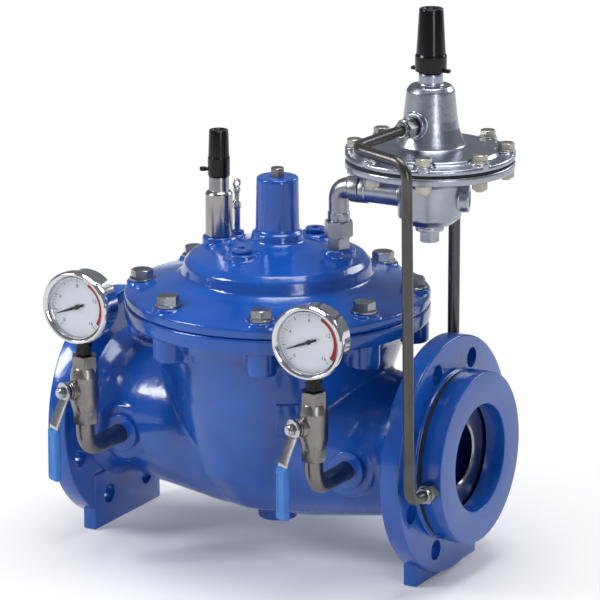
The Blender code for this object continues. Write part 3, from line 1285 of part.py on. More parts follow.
def make_gauge_set(frame, name, along, turn):
    """One tapping: elbow pipe, ball valve with its lever, and the pressure gauge on top."""
    axis = axis_empty(f"{name}_axis", (along, GAUGE_SET_Y, 0.0), frame)
    inside = -GAUGE_SET_Y - GAUGE_BOSS_FACE + GAUGE_PIPE_INSERT
    corners = [(0, inside, GAUGE_PIPE_HEIGHT), (0, 0, GAUGE_PIPE_HEIGHT), (0, 0, COCK_BOTTOM - GAP)]
    route = rounded_route(corners, GAUGE_PIPE_BEND)
    piece(f"{name}_pipe", swept(route, GAUGE_PIPE_RADIUS, SMALL), "dark_tube", axis)

    cock_top = COCK_BOTTOM + COCK_HEIGHT
    middle = (COCK_BOTTOM + cock_top) / 2
    belly = [
        (0.0, COCK_BOTTOM + 0.010),
        (COCK_BELLY_RADIUS - 0.003, COCK_BOTTOM + 0.010),
        (COCK_BELLY_RADIUS, COCK_BOTTOM + COCK_HEX_HEIGHT + 0.003),
        (COCK_BELLY_RADIUS, cock_top - COCK_HEX_HEIGHT - 0.003),
        (COCK_BELLY_RADIUS - 0.003, cock_top - 0.010),
        (0.0, cock_top - 0.010),
    ]
    cock = piece(f"{name}_cock_body", turned(belly, ROUND), "nickel", axis)
    hexes = hex_rod(COCK_HEX_WIDTH, COCK_BOTTOM, COCK_BOTTOM + COCK_HEX_HEIGHT)
    hex_rod(COCK_HEX_WIDTH, cock_top - COCK_HEX_HEIGHT, cock_top, shape=hexes)
    join(cock, hexes, f"{name}_cock_hexes")
    stem_turn = Matrix.Translation((0, 0, middle)) @ Matrix.Rotation(-LEVER_TURN, 4, "Z") @ TURN_TO_FRONT
    stem_boss = rod(COCK_STEM_BOSS_RADIUS, 0.004, COCK_STEM_BOSS_REACH, ROUND, stem_turn)
    join(cock, stem_boss, f"{name}_stem_boss")
    cut(cock, rod(COCK_BORE_RADIUS, COCK_BOTTOM - OVERCUT, cock_top + OVERCUT, SMALL), f"{name}_cock_bore")
    chamber_radius = BALL_RADIUS + RUNNING_GAP
    chamber = turned(sphere_outline(clear_of(chamber_radius, SMALL), middle), SMALL)
    cut(cock, chamber, f"{name}_ball_chamber")
    stem_bore = rod(BALL_STEM_RADIUS + RUNNING_GAP, 0.002, COCK_STEM_BOSS_REACH + OVERCUT, SMALL, stem_turn)
    cut(cock, stem_bore, f"{name}_stem_bore")

    pivot = axis_empty(f"{name}_lever_axis", (0, 0, middle), axis, -LEVER_TURN)
    hub = LEVER_STANDOFF
    ball = piece(
        f"{name}_cock_ball",
        turned(sphere_outline(BALL_RADIUS - 0.0006, 0.0), SMALL),
        "steel",
        pivot,
    )
    stem_end = hub + LEVER_THICKNESS + GAP + 0.005
    join(ball, rod(BALL_STEM_RADIUS, 0.004, stem_end, SMALL, TURN_TO_FRONT), f"{name}_ball_stem")
    nut = hex_rod(0.009, hub + LEVER_THICKNESS + GAP, stem_end - 0.001, TURN_TO_FRONT)
    join(ball, nut, f"{name}_lever_nut")
    cut(ball, rod(COCK_BORE_RADIUS - 0.0005, -0.02, 0.02, SMALL), f"{name}_ball_bore")

    lever = piece(f"{name}_lever", lever_blade(hub), "steel", pivot)
    disc = rod(LEVER_HUB_RADIUS, hub, hub + LEVER_THICKNESS, ROUND, TURN_TO_FRONT)
    join(lever, disc, f"{name}_lever_hub")
    cut(
        lever,
        rod(BALL_STEM_RADIUS + GAP, hub - OVERCUT, hub + 2 * OVERCUT, SMALL, TURN_TO_FRONT),
        f"{name}_hub_hole",
    )

    out = hub + LEVER_SLOPE_OUT + LEVER_THICKNESS / 2
    grip_top = -LEVER_SLOPE_DROP - 0.003
    grip = piece(f"{name}_lever_grip", grip_sleeve(out, grip_top), "blue_plastic", pivot)
    slot_top = -LEVER_SLOPE_DROP
    slot_low = slot_top - LEVER_BLADE_LENGTH - GAP
    slot_size = (LEVER_WIDTH + 2 * GAP, LEVER_THICKNESS + 2 * GAP, slot_top - slot_low)
    slot_centre = (0, -out, (slot_top + slot_low) / 2)
    cut(grip, block(slot_size, slot_centre), f"{name}_grip_slot")
    make_gauge(axis, name, cock_top + GAP, turn)


def sphere_outline(radius, height, steps=5):
    angles = [pi * index / steps - pi / 2 for index in range(steps + 1)]
    inner = [(radius * cos(angle), height + radius * sin(angle)) for angle in angles[1:-1]]
    return [(0.0, height - radius)] + inner + [(0.0, height + radius)]


def lever_blade(hub):
    """The bent strip of the lever, from the hub down to the end inside the grip."""
    half = LEVER_WIDTH / 2
    low = -LEVER_SLOPE_DROP
    inner = [(hub, 0.0), (hub, -0.006), (hub + LEVER_SLOPE_OUT, low)]
    inner.append((hub + LEVER_SLOPE_OUT, low - LEVER_BLADE_LENGTH))
    outline = inner + [(out + LEVER_THICKNESS, height) for out, height in reversed(inner)]
    sides = [[Vector((side, -out, height)) for out, height in outline] for side in (-half, half)]
    return loft(sides)


def grip_sleeve(out, top):
    """The moulded sleeve: an oval section that swells towards a round lower end."""
    rings = []
    shares = ((0.0, 0.82), (0.05, 0.93), (0.88, 1.0), (1.0, 0.68))
    for share, width in shares:
        height = top - GRIP_LENGTH * share
        ring = []
        for index in range(SMALL):
            angle = 2 * pi * index / SMALL
            squareness = 1.0 / max(abs(cos(angle)), abs(sin(angle))) ** 0.55
            x = 0.5 * GRIP_WIDTH * width * cos(angle) * squareness
            y = 0.5 * GRIP_THICKNESS * sin(angle) * squareness
            ring.append(Vector((x, y - out, height)))
        rings.append(ring)
    return loft(rings)


def make_gauge(axis, name, low, turn):
    """A round gauge facing the front, turned a little on its stem, open for the dial and pointer."""
    dial_axis = axis_empty(f"{name}_dial_axis", (0, 0, GAUGE_HEIGHT), axis, turn)
    front = GAUGE_FRONT
    back = GAUGE_FRONT - GAUGE_DEPTH
    outline = [
        (0.0, back),
        (GAUGE_CASE_RADIUS, back),
        (GAUGE_CASE_RADIUS, front - 0.009),
        (GAUGE_BEZEL_RADIUS, front - 0.0085),
        (GAUGE_BEZEL_RADIUS, front - 0.002),
        (GAUGE_BEZEL_RADIUS - 0.002, front),
        (GAUGE_DIAL_RADIUS, front),
        (GAUGE_DIAL_RADIUS, front - GAUGE_DIAL_DEPTH),
        (0.0, front - GAUGE_DIAL_DEPTH),
    ]
    case = piece(f"{name}_gauge_case", turned(outline, MEDIUM + 4, TURN_TO_FRONT), "steel", dial_axis)
    stem = rod(GAUGE_STEM_RADIUS, low - GAUGE_HEIGHT, -GAUGE_CASE_RADIUS + 0.003, SMALL)
    join(case, stem, f"{name}_gauge_stem")
    window_back = front - 0.0025 - GAUGE_WINDOW_THICKNESS
    window = rod(
        GAUGE_DIAL_RADIUS - GAP,
        window_back,
        window_back + GAUGE_WINDOW_THICKNESS,
        MEDIUM + 4,
        TURN_TO_FRONT,
    )
    piece(f"{name}_gauge_window", window, "glass", dial_axis)

    dial = front - GAUGE_DIAL_DEPTH
    lift = dial + 0.0008
    pointer = rod(0.0024, dial + GAP, lift + 0.0012, TINY, TURN_TO_FRONT)
    pointer = piece(f"{name}_gauge_pointer", pointer, "black_paint", dial_axis)
    sweep = Matrix.Rotation(pi + POINTER_ANGLE, 4, "Z")
    ends = ((-0.007, 0.0011), (0.0, 0.0009), (POINTER_LENGTH, 0.00035))
    rings = []
    for along, half in ends:
        ring = [
            (along, -half, lift),
            (along, half, lift),
            (along, half, lift + 0.0006),
            (along, -half, lift + 0.0006),
        ]
        rings.append([TURN_TO_FRONT @ sweep @ Vector(point) for point in ring])
    join(pointer, loft(rings), f"{name}_pointer_blade")


def stand_on_origin(root):
    """Move the whole part so that the middle of its underside is the origin."""
    bpy.context.view_layer.update()
    graph = bpy.context.evaluated_depsgraph_get()
    corners = []
    for thing in bpy.context.scene.objects:
        if thing.type == "MESH" and not thing.hide_render:
            evaluated = thing.evaluated_get(graph)
            corners += [evaluated.matrix_world @ vertex.co for vertex in evaluated.data.vertices]
    low = [min(corner[axis] for corner in corners) for axis in range(3)]
    high = [max(corner[axis] for corner in corners) for axis in range(3)]
    root.location = (-(low[0] + high[0]) / 2, -(low[1] + high[1]) / 2, -low[2])
    bpy.context.view_layer.update()


clear_scene()
valve = axis_empty("control_valve", (0.0, 0.0, 0.0))
make_valve_body(valve)
make_seat_ring(valve)
make_cover(valve)
make_disc_assembly(valve)
make_cover_bolts(valve)
make_plugs(valve)
make_speed_valve(valve)
make_vent_cock(valve)
make_pilot_connection(valve)
make_pilot(valve)
make_tubes(valve)
make_orifice_ring(valve)
for set_name, set_x, set_turn in zip(("inlet", "outlet"), GAUGE_SET_X, GAUGE_TURNS):
    make_gauge_set(valve, set_name, set_x, set_turn)
stand_on_origin(valve)
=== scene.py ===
from math import cos, pi, radians, sin, sqrt, tan

import bpy
from mathutils import Matrix, Vector


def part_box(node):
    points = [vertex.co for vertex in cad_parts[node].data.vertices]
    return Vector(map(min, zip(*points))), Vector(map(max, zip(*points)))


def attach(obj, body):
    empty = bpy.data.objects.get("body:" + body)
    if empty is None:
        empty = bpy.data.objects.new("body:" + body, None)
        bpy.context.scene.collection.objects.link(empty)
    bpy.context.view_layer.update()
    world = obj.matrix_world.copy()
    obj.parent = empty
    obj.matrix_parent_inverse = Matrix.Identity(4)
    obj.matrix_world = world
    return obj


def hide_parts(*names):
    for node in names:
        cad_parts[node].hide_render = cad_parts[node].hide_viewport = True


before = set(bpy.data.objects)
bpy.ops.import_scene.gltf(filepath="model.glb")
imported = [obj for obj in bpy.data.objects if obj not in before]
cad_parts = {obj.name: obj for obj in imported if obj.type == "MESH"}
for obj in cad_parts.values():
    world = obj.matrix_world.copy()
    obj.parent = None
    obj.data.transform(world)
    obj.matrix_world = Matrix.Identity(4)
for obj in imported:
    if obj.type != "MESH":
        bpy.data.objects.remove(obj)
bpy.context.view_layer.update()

# Body casting
# The globe body of the valve, one iron casting in blue enamel: two pipe necks, the bowl, flanges and feet.
# Necks and bowl are turned, joined and blended like a casting, then flanges, rim and the flow path are added.
cover_low, cover_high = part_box("cover")
ring_low, ring_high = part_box("orifice_ring")
axis_point = Vector((
    (cover_low.x + cover_high.x) / 2,
    (cover_low.y + cover_high.y) / 2,
    (ring_low.z + ring_high.z) / 2,
))
AT_AXIS = Matrix.Translation(axis_point)
TO_X = Matrix.Rotation(pi / 2, 4, "Y")
TO_FRONT = Matrix.Rotation(pi / 2, 4, "X")
BOLT_COUNT = 8
HALF_STEP = pi / BOLT_COUNT
JOINT_HEIGHT = 0.1223
FLANGE_RADIUS = 0.110
FLANGE_BACK = 0.166
FLANGE_FRONT = 0.185
RAISED_RADIUS = 0.079
RAISED_FRONT = 0.188
PIPE_BORE = 0.050
RIM_RADIUS = 0.1425
RIM_UNDERSIDE = 0.108
GAUGE_X = (-0.1305, 0.1105)
GAUGE_Y = -0.1315
TAP_HEIGHT = -0.0085
HOLE_COUNT = 8
HOLE_CIRCLE = 0.090
HOLE_RADIUS = 0.0095
FOOT_DEPTH = 0.113
BOLT_CIRCLE = 0.127


class Signal:
    """One output of a node, on which sums add Math nodes."""

    def __init__(self, finish, socket):
        self.finish = finish
        self.socket = socket

    def sum_of(self, operation, first, second):
        return self.finish.node("ShaderNodeMath", {"operation": operation}, {0: first, 1: second})

    def __add__(self, other):
        return self.sum_of("ADD", self, other)

    __radd__ = __add__

    def __sub__(self, other):
        return self.sum_of("SUBTRACT", self, other)

    def __mul__(self, other):
        return self.sum_of("MULTIPLY", self, other)

    __rmul__ = __mul__

    def __pow__(self, other):
        return self.sum_of("POWER", self, other)


class Finish:
    """A material on a Principled shader, with one method that adds every other node."""

    def __init__(self, name, colour, metallic=0.0, roughness=0.4, coat=0.0):
        self.material = bpy.data.materials.new(name)
        self.material.use_nodes = True
        self.tree = self.material.node_tree
        self.shader = self.tree.nodes["Principled BSDF"]
        self.shader.inputs["Base Color"].default_value = (*colour, 1.0)
        self.shader.inputs["Metallic"].default_value = metallic
        self.shader.inputs["Roughness"].default_value = roughness
        self.shader.inputs["Coat Weight"].default_value = coat
        self.shader.inputs["Coat Roughness"].default_value = 0.05

    def node(self, kind, settings=None, values=None, output=0):
        made = self.tree.nodes.new(kind)
        for key, value in (settings or {}).items():
            setattr(made, key, value)
        for key, value in (values or {}).items():
            if isinstance(value, Signal):
                self.tree.links.new(value.socket, made.inputs[key])
            else:
                made.inputs[key].default_value = value
        return Signal(self, made.outputs[output])

    def feed(self, name, signal):
        self.tree.links.new(signal.socket, self.shader.inputs[name])

    def noise(self, scale, detail=3.0):
        place = self.node("ShaderNodeTexCoord", output="Object")
        return self.node("ShaderNodeTexNoise", {}, {"Vector": place, "Scale": scale, "Detail": detail})

    def tint(self, first, second, share):
        """Colour between two colours, by a share from 0 to 1."""
        mix = self.node(
            "ShaderNodeMix", {"data_type": "RGBA"}, {0: share, 6: (*first, 1.0), 7: (*second, 1.0)}, output=2
        )
        self.feed("Base Color", mix)

    def bump(self, height, distance):
        self.feed("Normal", self.node("ShaderNodeBump", {}, {"Height": height, "Distance": distance}))


def enamel(name, light, dark):
    """Glossy enamel on cast iron: a faint sand texture under a smooth coat, a little uneven in colour."""
    made = Finish(name, light, 0.0, 0.18, coat=0.3)
    cloud = made.noise(26.0, 4.0)
    sand = made.noise(420.0, 3.0)
    peel = made.noise(130.0, 2.0)
    made.tint(dark, light, (cloud - 0.25) * 1.7)
    made.feed("Roughness", 0.11 + 0.12 * cloud)
    made.bump(sand * 0.25 + peel, 0.00026)
    return made.material


PAINT_LIGHT = (0.008, 0.092, 0.42)
PAINT_DARK = (0.004, 0.058, 0.32)
blue_enamel = enamel("blue_enamel", PAINT_LIGHT, PAINT_DARK)


def at(x, y, z):
    """A move to a place."""
    return Matrix.Translation((x, y, z))


def about_z(angle):
    """A turn about Z."""
    return Matrix.Rotation(angle, 4, "Z")


def pick(piece):
    """Make a piece the only selected one, ready for an operator."""
    bpy.ops.object.select_all(action="DESELECT")
    bpy.context.view_layer.objects.active = piece
    piece.select_set(True)


def apply_step(piece, step):
    pick(piece)
    bpy.ops.object.modifier_apply(modifier=step.name)


def soft_corners(outline, radius, steps=4, closed=False):
    """Round the corners of an outline, by no more than its edges allow."""
    points = [Vector(point) for point in outline]
    made = []
    for index, corner in enumerate(points):
        before = points[index - 1] - corner
        after = points[(index + 1) % len(points)] - corner
        at_end = not closed and index in (0, len(points) - 1)
        if at_end or before.angle(after) > radians(172):
            made.append(corner)
            continue
        reach = min(radius / tan(before.angle(after) / 2), 0.45 * before.length, 0.45 * after.length)
        start = corner + before.normalized() * reach
        end = corner + after.normalized() * reach
        for step in range(steps + 1):
            share = step / steps
            made.append((1 - share) ** 2 * start + 2 * share * (1 - share) * corner + share**2 * end)
    return [tuple(point) for point in made]


def settle(piece, place):
    """Put a finished shape in its place, with the place kept in its mesh."""
    pick(piece)
    piece.matrix_world = place
    bpy.ops.object.transform_apply(location=True, rotation=True, scale=True)
    return piece


def extrude(x, y, z):
    bpy.ops.mesh.extrude_region_move(TRANSFORM_OT_translate={"value": (x, y, z)})


def drawn(name, path):
    """Draw a line through points by extruding one vertex, and stay in edit mode with all of it selected."""
    bpy.ops.object.select_all(action="DESELECT")
    bpy.ops.mesh.primitive_plane_add(size=0.001)
    made = bpy.context.object
    made.name = name
    bpy.ops.object.mode_set(mode="EDIT")
    bpy.ops.mesh.select_all(action="SELECT")
    bpy.ops.mesh.merge(type="CENTER")
    bpy.ops.transform.translate(value=path[0])
    for here, following in zip(path, path[1:]):
        extrude(*(after - before for before, after in zip(here, following)))
    bpy.ops.mesh.select_all(action="SELECT")
    return made


def close_mesh():
    """Turn all faces outward and leave edit mode."""
    bpy.ops.mesh.select_all(action="SELECT")
    bpy.ops.mesh.normals_make_consistent(inside=False)
    bpy.ops.object.mode_set(mode="OBJECT")


def turned(name, outline, sides=64, place=Matrix(), closed=False):
    """Draw an outline of (radius, height) points and spin it about Z."""
    line = list(outline) + ([outline[0]] if closed else [])
    made = drawn(name, [(radius, 0, height) for radius, height in line])
    bpy.ops.mesh.spin(steps=sides, angle=2 * pi, center=(0, 0, 0), axis=(0, 0, 1))
    bpy.ops.mesh.select_all(action="SELECT")
    bpy.ops.mesh.remove_doubles(threshold=1e-6)
    close_mesh()
    return settle(made, place)


def rod(name, radius, low, high, sides=48, place=Matrix(), edge=0.0):
    """A round bar along Z, with its two rims rounded."""
    outline = [(0, low), (radius, low), (radius, high), (0, high)]
    return turned(name, soft_corners(outline, edge, 3) if edge else outline, sides, place)


def slab(name, size, centre, edge, place=Matrix()):
    """A block with rounded edges."""
    bpy.ops.object.select_all(action="DESELECT")
    bpy.ops.mesh.primitive_cube_add(size=1.0, location=centre, scale=size)
    made = bpy.context.object
    made.name = name
    bpy.ops.object.transform_apply(location=True, rotation=True, scale=True)
    bpy.ops.object.mode_set(mode="EDIT")
    bpy.ops.mesh.select_all(action="SELECT")
    bpy.ops.mesh.bevel(offset=edge, segments=3, affect="EDGES")
    bpy.ops.object.mode_set(mode="OBJECT")
    return settle(made, place)


def duct(name, stations, sides=64):
    """A closed duct along X through stations of (x, height, half width, half height)."""
    x, height, wide, tall = stations[0]
    bpy.ops.object.select_all(action="DESELECT")
    bpy.ops.mesh.primitive_circle_add(vertices=sides, radius=1.0, fill_type="NGON")
    made = bpy.context.object
    made.name = name
    settle(made, at(x, 0, height) @ Matrix.Diagonal((1, wide, tall, 1)) @ TO_X)
    bpy.ops.object.mode_set(mode="EDIT")
    bpy.ops.mesh.select_all(action="SELECT")
    for here, following in zip(stations, stations[1:]):
        extrude(following[0] - here[0], 0, following[1] - here[1])
        grow = (1, following[2] / here[2], following[3] / here[3])
        bpy.ops.transform.resize(value=grow, center_override=(following[0], 0, following[1]))
    close_mesh()
    return made


def combine(target, others, operation="UNION"):
    """Join or cut the target with other solids, which are then gone."""
    for other in others:
        step = target.modifiers.new(operation.lower(), "BOOLEAN")
        step.operation = operation
        step.solver = "EXACT"
        step.object = other
        apply_step(target, step)
        bpy.data.objects.remove(other)
    return target


def cast(piece, grain, passes):
    """Blend a rough union into one skin with small fillets, as in a casting."""
    pick(piece)
    piece.data.remesh_voxel_size = grain
    bpy.ops.object.voxel_remesh()
    step = piece.modifiers.new("blend", "SMOOTH")
    step.factor = 0.5
    step.iterations = passes
    apply_step(piece, step)
    return piece


def dress(piece, finish, body="casing", nodes=(), angle=32):
    """Give a finished piece its material and its place on the frame."""
    pick(piece)
    bpy.ops.object.shade_smooth_by_angle(angle=radians(angle))
    piece.data.materials.clear()
    piece.data.materials.append(finish)
    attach(piece, body)
    if nodes:
        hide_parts(*nodes)
    return piece


def around(count, radius, offset):
    """Places on a circle about Z."""
    return [about_z(offset + 2 * pi * n / count) @ at(radius, 0, 0) for n in range(count)]


neck_half = [(0.0, 0.172), (0.076, 0.172), (0.0665, 0.157), (0.064, 0.140), (0.0683, 0.116), (0.079, 0.0415)]
neck_outline = [(r, -x) for r, x in neck_half] + [(r, x) for r, x in reversed(neck_half)]
body_casting = turned("valve_body_casting", soft_corners(neck_outline, 0.05, 6), 112, TO_X)
bowl_outline = [
    (0.0, -0.070), (0.050, -0.070), (0.080, -0.035), (0.095, 0.010), (0.105, 0.050),
    (0.121, 0.096), (0.129, RIM_UNDERSIDE), (0.129, 0.116), (0.0, 0.116),
]
BOLT_PLACES = around(BOLT_COUNT, BOLT_CIRCLE, HALF_STEP)
rough = [turned("bowl", soft_corners(bowl_outline, 0.02, 5), 128)]
rough += [rod("under_boss", 0.0145, 0.086, 0.115, 24, place, 0.002) for place in BOLT_PLACES]
rough.append(rod("drain_boss", 0.019, -0.089, -0.050, 40, edge=0.002))
TAP_PLACES = [at(along, 0, TAP_HEIGHT) @ TO_FRONT for along in GAUGE_X]
rough += [rod("tap_shoulder", 0.0265, 0.040, 0.0665, 48, place, 0.002) for place in TAP_PLACES]
pilot_low, pilot_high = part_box("pilot_diaphragm")
pilot_centre = (pilot_low + pilot_high) / 2 - axis_point
REAR_TUBE_Y = 0.062
rear_place = at(pilot_centre.x, REAR_TUBE_Y, 0)
rough.append(rod("rear_boss", 0.011, -0.004, 0.0455, 32, rear_place, 0.0015))
combine(body_casting, rough)
cast(body_casting, 0.0019, 7)

crisp = []
FOOT_TOP = -0.058
for side in (-1, 1):
    flange_outline = [
        (0.0, side * (FLANGE_BACK - 0.002)), (0.070, side * (FLANGE_BACK - 0.002)),
        (0.072, side * FLANGE_BACK), (FLANGE_RADIUS, side * FLANGE_BACK),
        (FLANGE_RADIUS, side * FLANGE_FRONT), (RAISED_RADIUS, side * FLANGE_FRONT),
        (RAISED_RADIUS - 0.0006, side * RAISED_FRONT), (0.0, side * RAISED_FRONT),
    ]
    crisp.append(turned("flange", soft_corners(flange_outline, 0.0016, 3), 160, TO_X))
    foot_size = (0.014, 0.120, FOOT_DEPTH + FOOT_TOP)
    foot_centre = (side * 0.1715, 0, (FOOT_TOP - FOOT_DEPTH) / 2)
    crisp.append(slab("foot", foot_size, foot_centre, 0.0018))
RIM_TOP = JOINT_HEIGHT - 0.0002
rim_outline = [(0.0, RIM_UNDERSIDE), (RIM_RADIUS, RIM_UNDERSIDE), (RIM_RADIUS, RIM_TOP), (0.0, RIM_TOP)]
crisp.append(turned("rim", soft_corners(rim_outline, 0.0022, 3), 160))
crisp += [rod("tap_boss", 0.018, 0.045, 0.072, 64, place, 0.0018) for place in TAP_PLACES]
pad_lean = Matrix.Rotation(radians(14), 4, "X")
pad_place = about_z(radians(34)) @ at(0, -0.0968, 0.036) @ pad_lean
crisp.append(slab("name_pad", (0.021, 0.012, 0.034), (0, 0, 0), 0.0009, pad_place))
combine(body_casting, crisp)

inlet = [(-0.195, 0, PIPE_BORE, PIPE_BORE), (-0.075, 0, PIPE_BORE, PIPE_BORE), (-0.010, -0.006, 0.042, 0.042)]
lower = [
    (0.0, -0.069), (0.033, -0.065), (0.047, -0.024), (0.047, 0.042),
    (0.0463, 0.050), (0.0463, 0.066), (0.0, 0.066),
]
upper = [
    (0.0, 0.062), (0.062, 0.062), (0.088, 0.074), (0.104, 0.102),
    (0.104, 0.1195), (0.1173, 0.1195), (0.1173, 0.130), (0.0, 0.130),
]
outlet = [
    (0.059, 0.046, 0.030, 0.033), (0.093, 0.010, 0.050, 0.052),
    (0.117, 0, PIPE_BORE, PIPE_BORE), (0.195, 0, PIPE_BORE, PIPE_BORE),
]
hollow = duct("inlet_way", inlet)
combine(hollow, [turned("lower_chamber", lower, 64), turned("upper_chamber", upper, 96)])
combine(hollow, [duct("outlet_way", outlet)])
combine(body_casting, [hollow], "DIFFERENCE")
flange_holes = [
    rod("hole", HOLE_RADIUS, side * 0.155, side * 0.195, 32, TO_X @ place)
    for side in (-1, 1)
    for place in around(HOLE_COUNT, HOLE_CIRCLE, pi / HOLE_COUNT)
]
holes = combine(flange_holes[0], flange_holes[1:])
combine(holes, [rod("hole", 0.0063, 0.0775, 0.130, 16, place) for place in BOLT_PLACES])
combine(holes, [rod("hole", 0.0089, 0.058, 0.080, 32, place) for place in TAP_PLACES])
combine(holes, [rod("hole", 0.0058, 0.036, 0.055, 24, rear_place), rod("hole", 0.0108, -0.095, -0.075, 32)])
combine(body_casting, [holes], "DIFFERENCE")
dress(settle(body_casting, AT_AXIS), blue_enamel, nodes=["valve_body"], angle=38)

# Inner parts
# The seat ring, disc, stem, diaphragm and spring that work inside the body and cover.
# Their solids are right as they are, so each only gets the finish of its metal or rubber.


def metal(name, light, dark, roughness, grain=180.0, depth=0.00008, metallic=1.0):
    """Bare or plated metal, with a fine grain and slightly uneven gloss."""
    made = Finish(name, light, metallic, roughness)
    cloud = made.noise(45.0, 3.0)
    fine = made.noise(grain, 3.0)
    made.tint(dark, light, (cloud - 0.2) * 1.6)
    made.feed("Roughness", roughness * 0.8 + roughness * 0.4 * fine)
    made.bump(fine, depth)
    return made.material


def rubber(name, colour):
    made = Finish(name, colour, 0.0, 0.7)
    grain = made.noise(300.0, 4.0)
    made.feed("Roughness", 0.6 + 0.25 * grain)
    made.bump(grain, 0.0001)
    return made.material


zinc = metal("zinc_plate", (0.40, 0.42, 0.45), (0.22, 0.23, 0.25), 0.30)
bright_steel = metal("bright_steel", (0.62, 0.62, 0.64), (0.42, 0.42, 0.44), 0.20, 260.0, 0.00004)
bronze = metal("seat_bronze", (0.52, 0.34, 0.16), (0.38, 0.24, 0.11), 0.35)
brass = metal("valve_brass", (0.60, 0.45, 0.20), (0.45, 0.33, 0.15), 0.30)
black_rubber = rubber("black_rubber", (0.018, 0.018, 0.019))
inner_finishes = {
    "seat_ring": bronze,
    "disc_holder": zinc,
    "diaphragm_washer": zinc,
    "stem_nut": zinc,
    "main_stem": bright_steel,
    "main_spring": bright_steel,
    "main_diaphragm": black_rubber,
    "pilot_diaphragm": black_rubber,
    "seat_disc": black_rubber,
    "speed_valve_needle": bright_steel,
    "pilot_spring": bright_steel,
    "pilot_adjusting_screw": bright_steel,
    "pilot_spring_seat": brass,
    "pilot_poppet": brass,
}
for node_name, inner_finish in inner_finishes.items():
    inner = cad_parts[node_name]
    inner.data.materials.clear()
    inner.data.materials.append(inner_finish)

# Cover casting
# The diaphragm cover, cast iron in the same blue enamel, with a tower that holds the top of the stem.
# It is turned with its cavity, given its bolt and port bosses, blended, and drilled.
DOME_TOP = 0.176
PORTS = {"speed": (-0.0624, 0.0), "pilot": (0.058, 0.012), "front": (-0.012, -0.045), "rear": (0.010, 0.055)}
VENT_PORT = (-0.057, 0.024)
cover_outer = [
    (0.104, JOINT_HEIGHT + 0.0002), (RIM_RADIUS, JOINT_HEIGHT + 0.0002), (RIM_RADIUS, 0.1320),
    (0.0965, 0.1445), (0.0890, 0.1485), (0.0868, 0.1600), (0.0815, 0.1655), (0.0340, 0.1762),
    (0.0246, 0.1800), (0.0238, 0.1875), (0.0204, 0.1895), (0.0196, 0.2400), (0.0053, 0.2400),
]
cover_inner = [(0.0053, 0.232), (0.011, 0.232), (0.011, 0.192), (0.0084, 0.190), (0.0084, 0.1615)]
cover_inner += [(0.0672, 0.1595), (0.080, 0.1388), (0.101, 0.130)]
cover_outline = soft_corners(cover_outer, 0.0026, 3) + cover_inner
cover_casting = turned("cover_casting", cover_outline, 144, closed=True)
raised = [rod("bolt_boss", 0.0148, 0.125, 0.1372, 32, place, 0.0015) for place in BOLT_PLACES]
for x, y in PORTS.values():
    raised.append(rod("port_boss", 0.0158, 0.162, DOME_TOP, 40, at(x, y, 0), 0.0016))
raised.append(rod("vent_boss", 0.0070, 0.162, DOME_TOP, 24, at(*VENT_PORT, 0), 0.0012))
combine(cover_casting, raised)
cast(cover_casting, 0.00150, 4)
drill_outline = [
    (0.0, 0.110), (0.0063, 0.110), (0.0063, 0.137), (0.0124, 0.137), (0.0124, 0.150), (0.0, 0.150),
]
drills = turned("drill", drill_outline, 40, BOLT_PLACES[0])
combine(drills, [turned("drill", drill_outline, 40, place) for place in BOLT_PLACES[1:]])
for x, y in PORTS.values():
    combine(drills, [rod("drill", 0.0068, 0.150, 0.190, 24, at(x, y, 0))])
combine(drills, [rod("drill", 0.0036, 0.1705, 0.190, 16, at(*VENT_PORT, 0))])
combine(cover_casting, [drills], "DIFFERENCE")
dress(settle(cover_casting, AT_AXIS), blue_enamel, nodes=["cover"], angle=38)

# Cover bolts
# Eight zinc-plated hex bolts, each on a flat washer, that hold the cover to the body.
# One is turned and cut to a hexagon with a chamfered head, then copied round the cover.
BOLT_HEAD_WIDTH = 0.0182
BOLT_SEAT = 0.1373
WASHER_TOP = BOLT_SEAT + 0.0025
HEAD_TOP = WASHER_TOP + 0.0078


def hexagon(name, width, low, high, place=Matrix(), top=0.0012, bottom=0.0):
    """A hexagon bar along Z by its width across flats, with its corners turned down at the ends."""
    corner = width / sqrt(3)
    made = turned(name, [(0, low), (corner, low), (corner, high), (0, high)], 6)
    around_it = [
        (0, low), (corner - 1.3 * bottom, low), (corner + 0.0002, low + bottom * 0.9),
        (corner + 0.0002, high - top * 0.9), (corner - 1.3 * top, high), (0, high),
    ]
    beyond = {low: -0.0001, high: 0.0001}
    longer = [(radius, height + beyond.get(height, 0)) for radius, height in around_it]
    combine(made, [turned("chamfer", longer, 48)], "INTERSECT")
    return settle(made, place)


def copied(piece, name, move):
    """A copy of a finished shape, moved, with its own mesh."""
    made = piece.copy()
    made.data = piece.data.copy()
    made.name = name
    bpy.context.scene.collection.objects.link(made)
    return settle(made, move)


def edged(piece, width, angle=30):
    """Round the sharp edges of a shape a little."""
    step = piece.modifiers.new("edges", "BEVEL")
    step.width = width
    step.segments = 2
    step.limit_method = "ANGLE"
    step.angle_limit = radians(angle)
    apply_step(piece, step)
    return piece


bolt_head = hexagon("bolt_head", BOLT_HEAD_WIDTH, WASHER_TOP - 0.0004, HEAD_TOP)
washer_outline = [
    (0, 0.0875), (0.006, 0.0875), (0.006, BOLT_SEAT),
    (0.012, BOLT_SEAT), (0.012, WASHER_TOP), (0, WASHER_TOP),
]
bolt = combine(turned("bolt", soft_corners(washer_outline, 0.0004, 2), 48), [bolt_head])
for number, place in enumerate(BOLT_PLACES, start=1):
    tilt = about_z(radians(17 * number))
    made = copied(bolt, f"cover_hex_bolt_{number}", AT_AXIS @ Matrix.Translation(place.translation) @ tilt)
    dress(made, zinc, nodes=[f"cover_bolt_{number}"])
bpy.data.objects.remove(bolt)

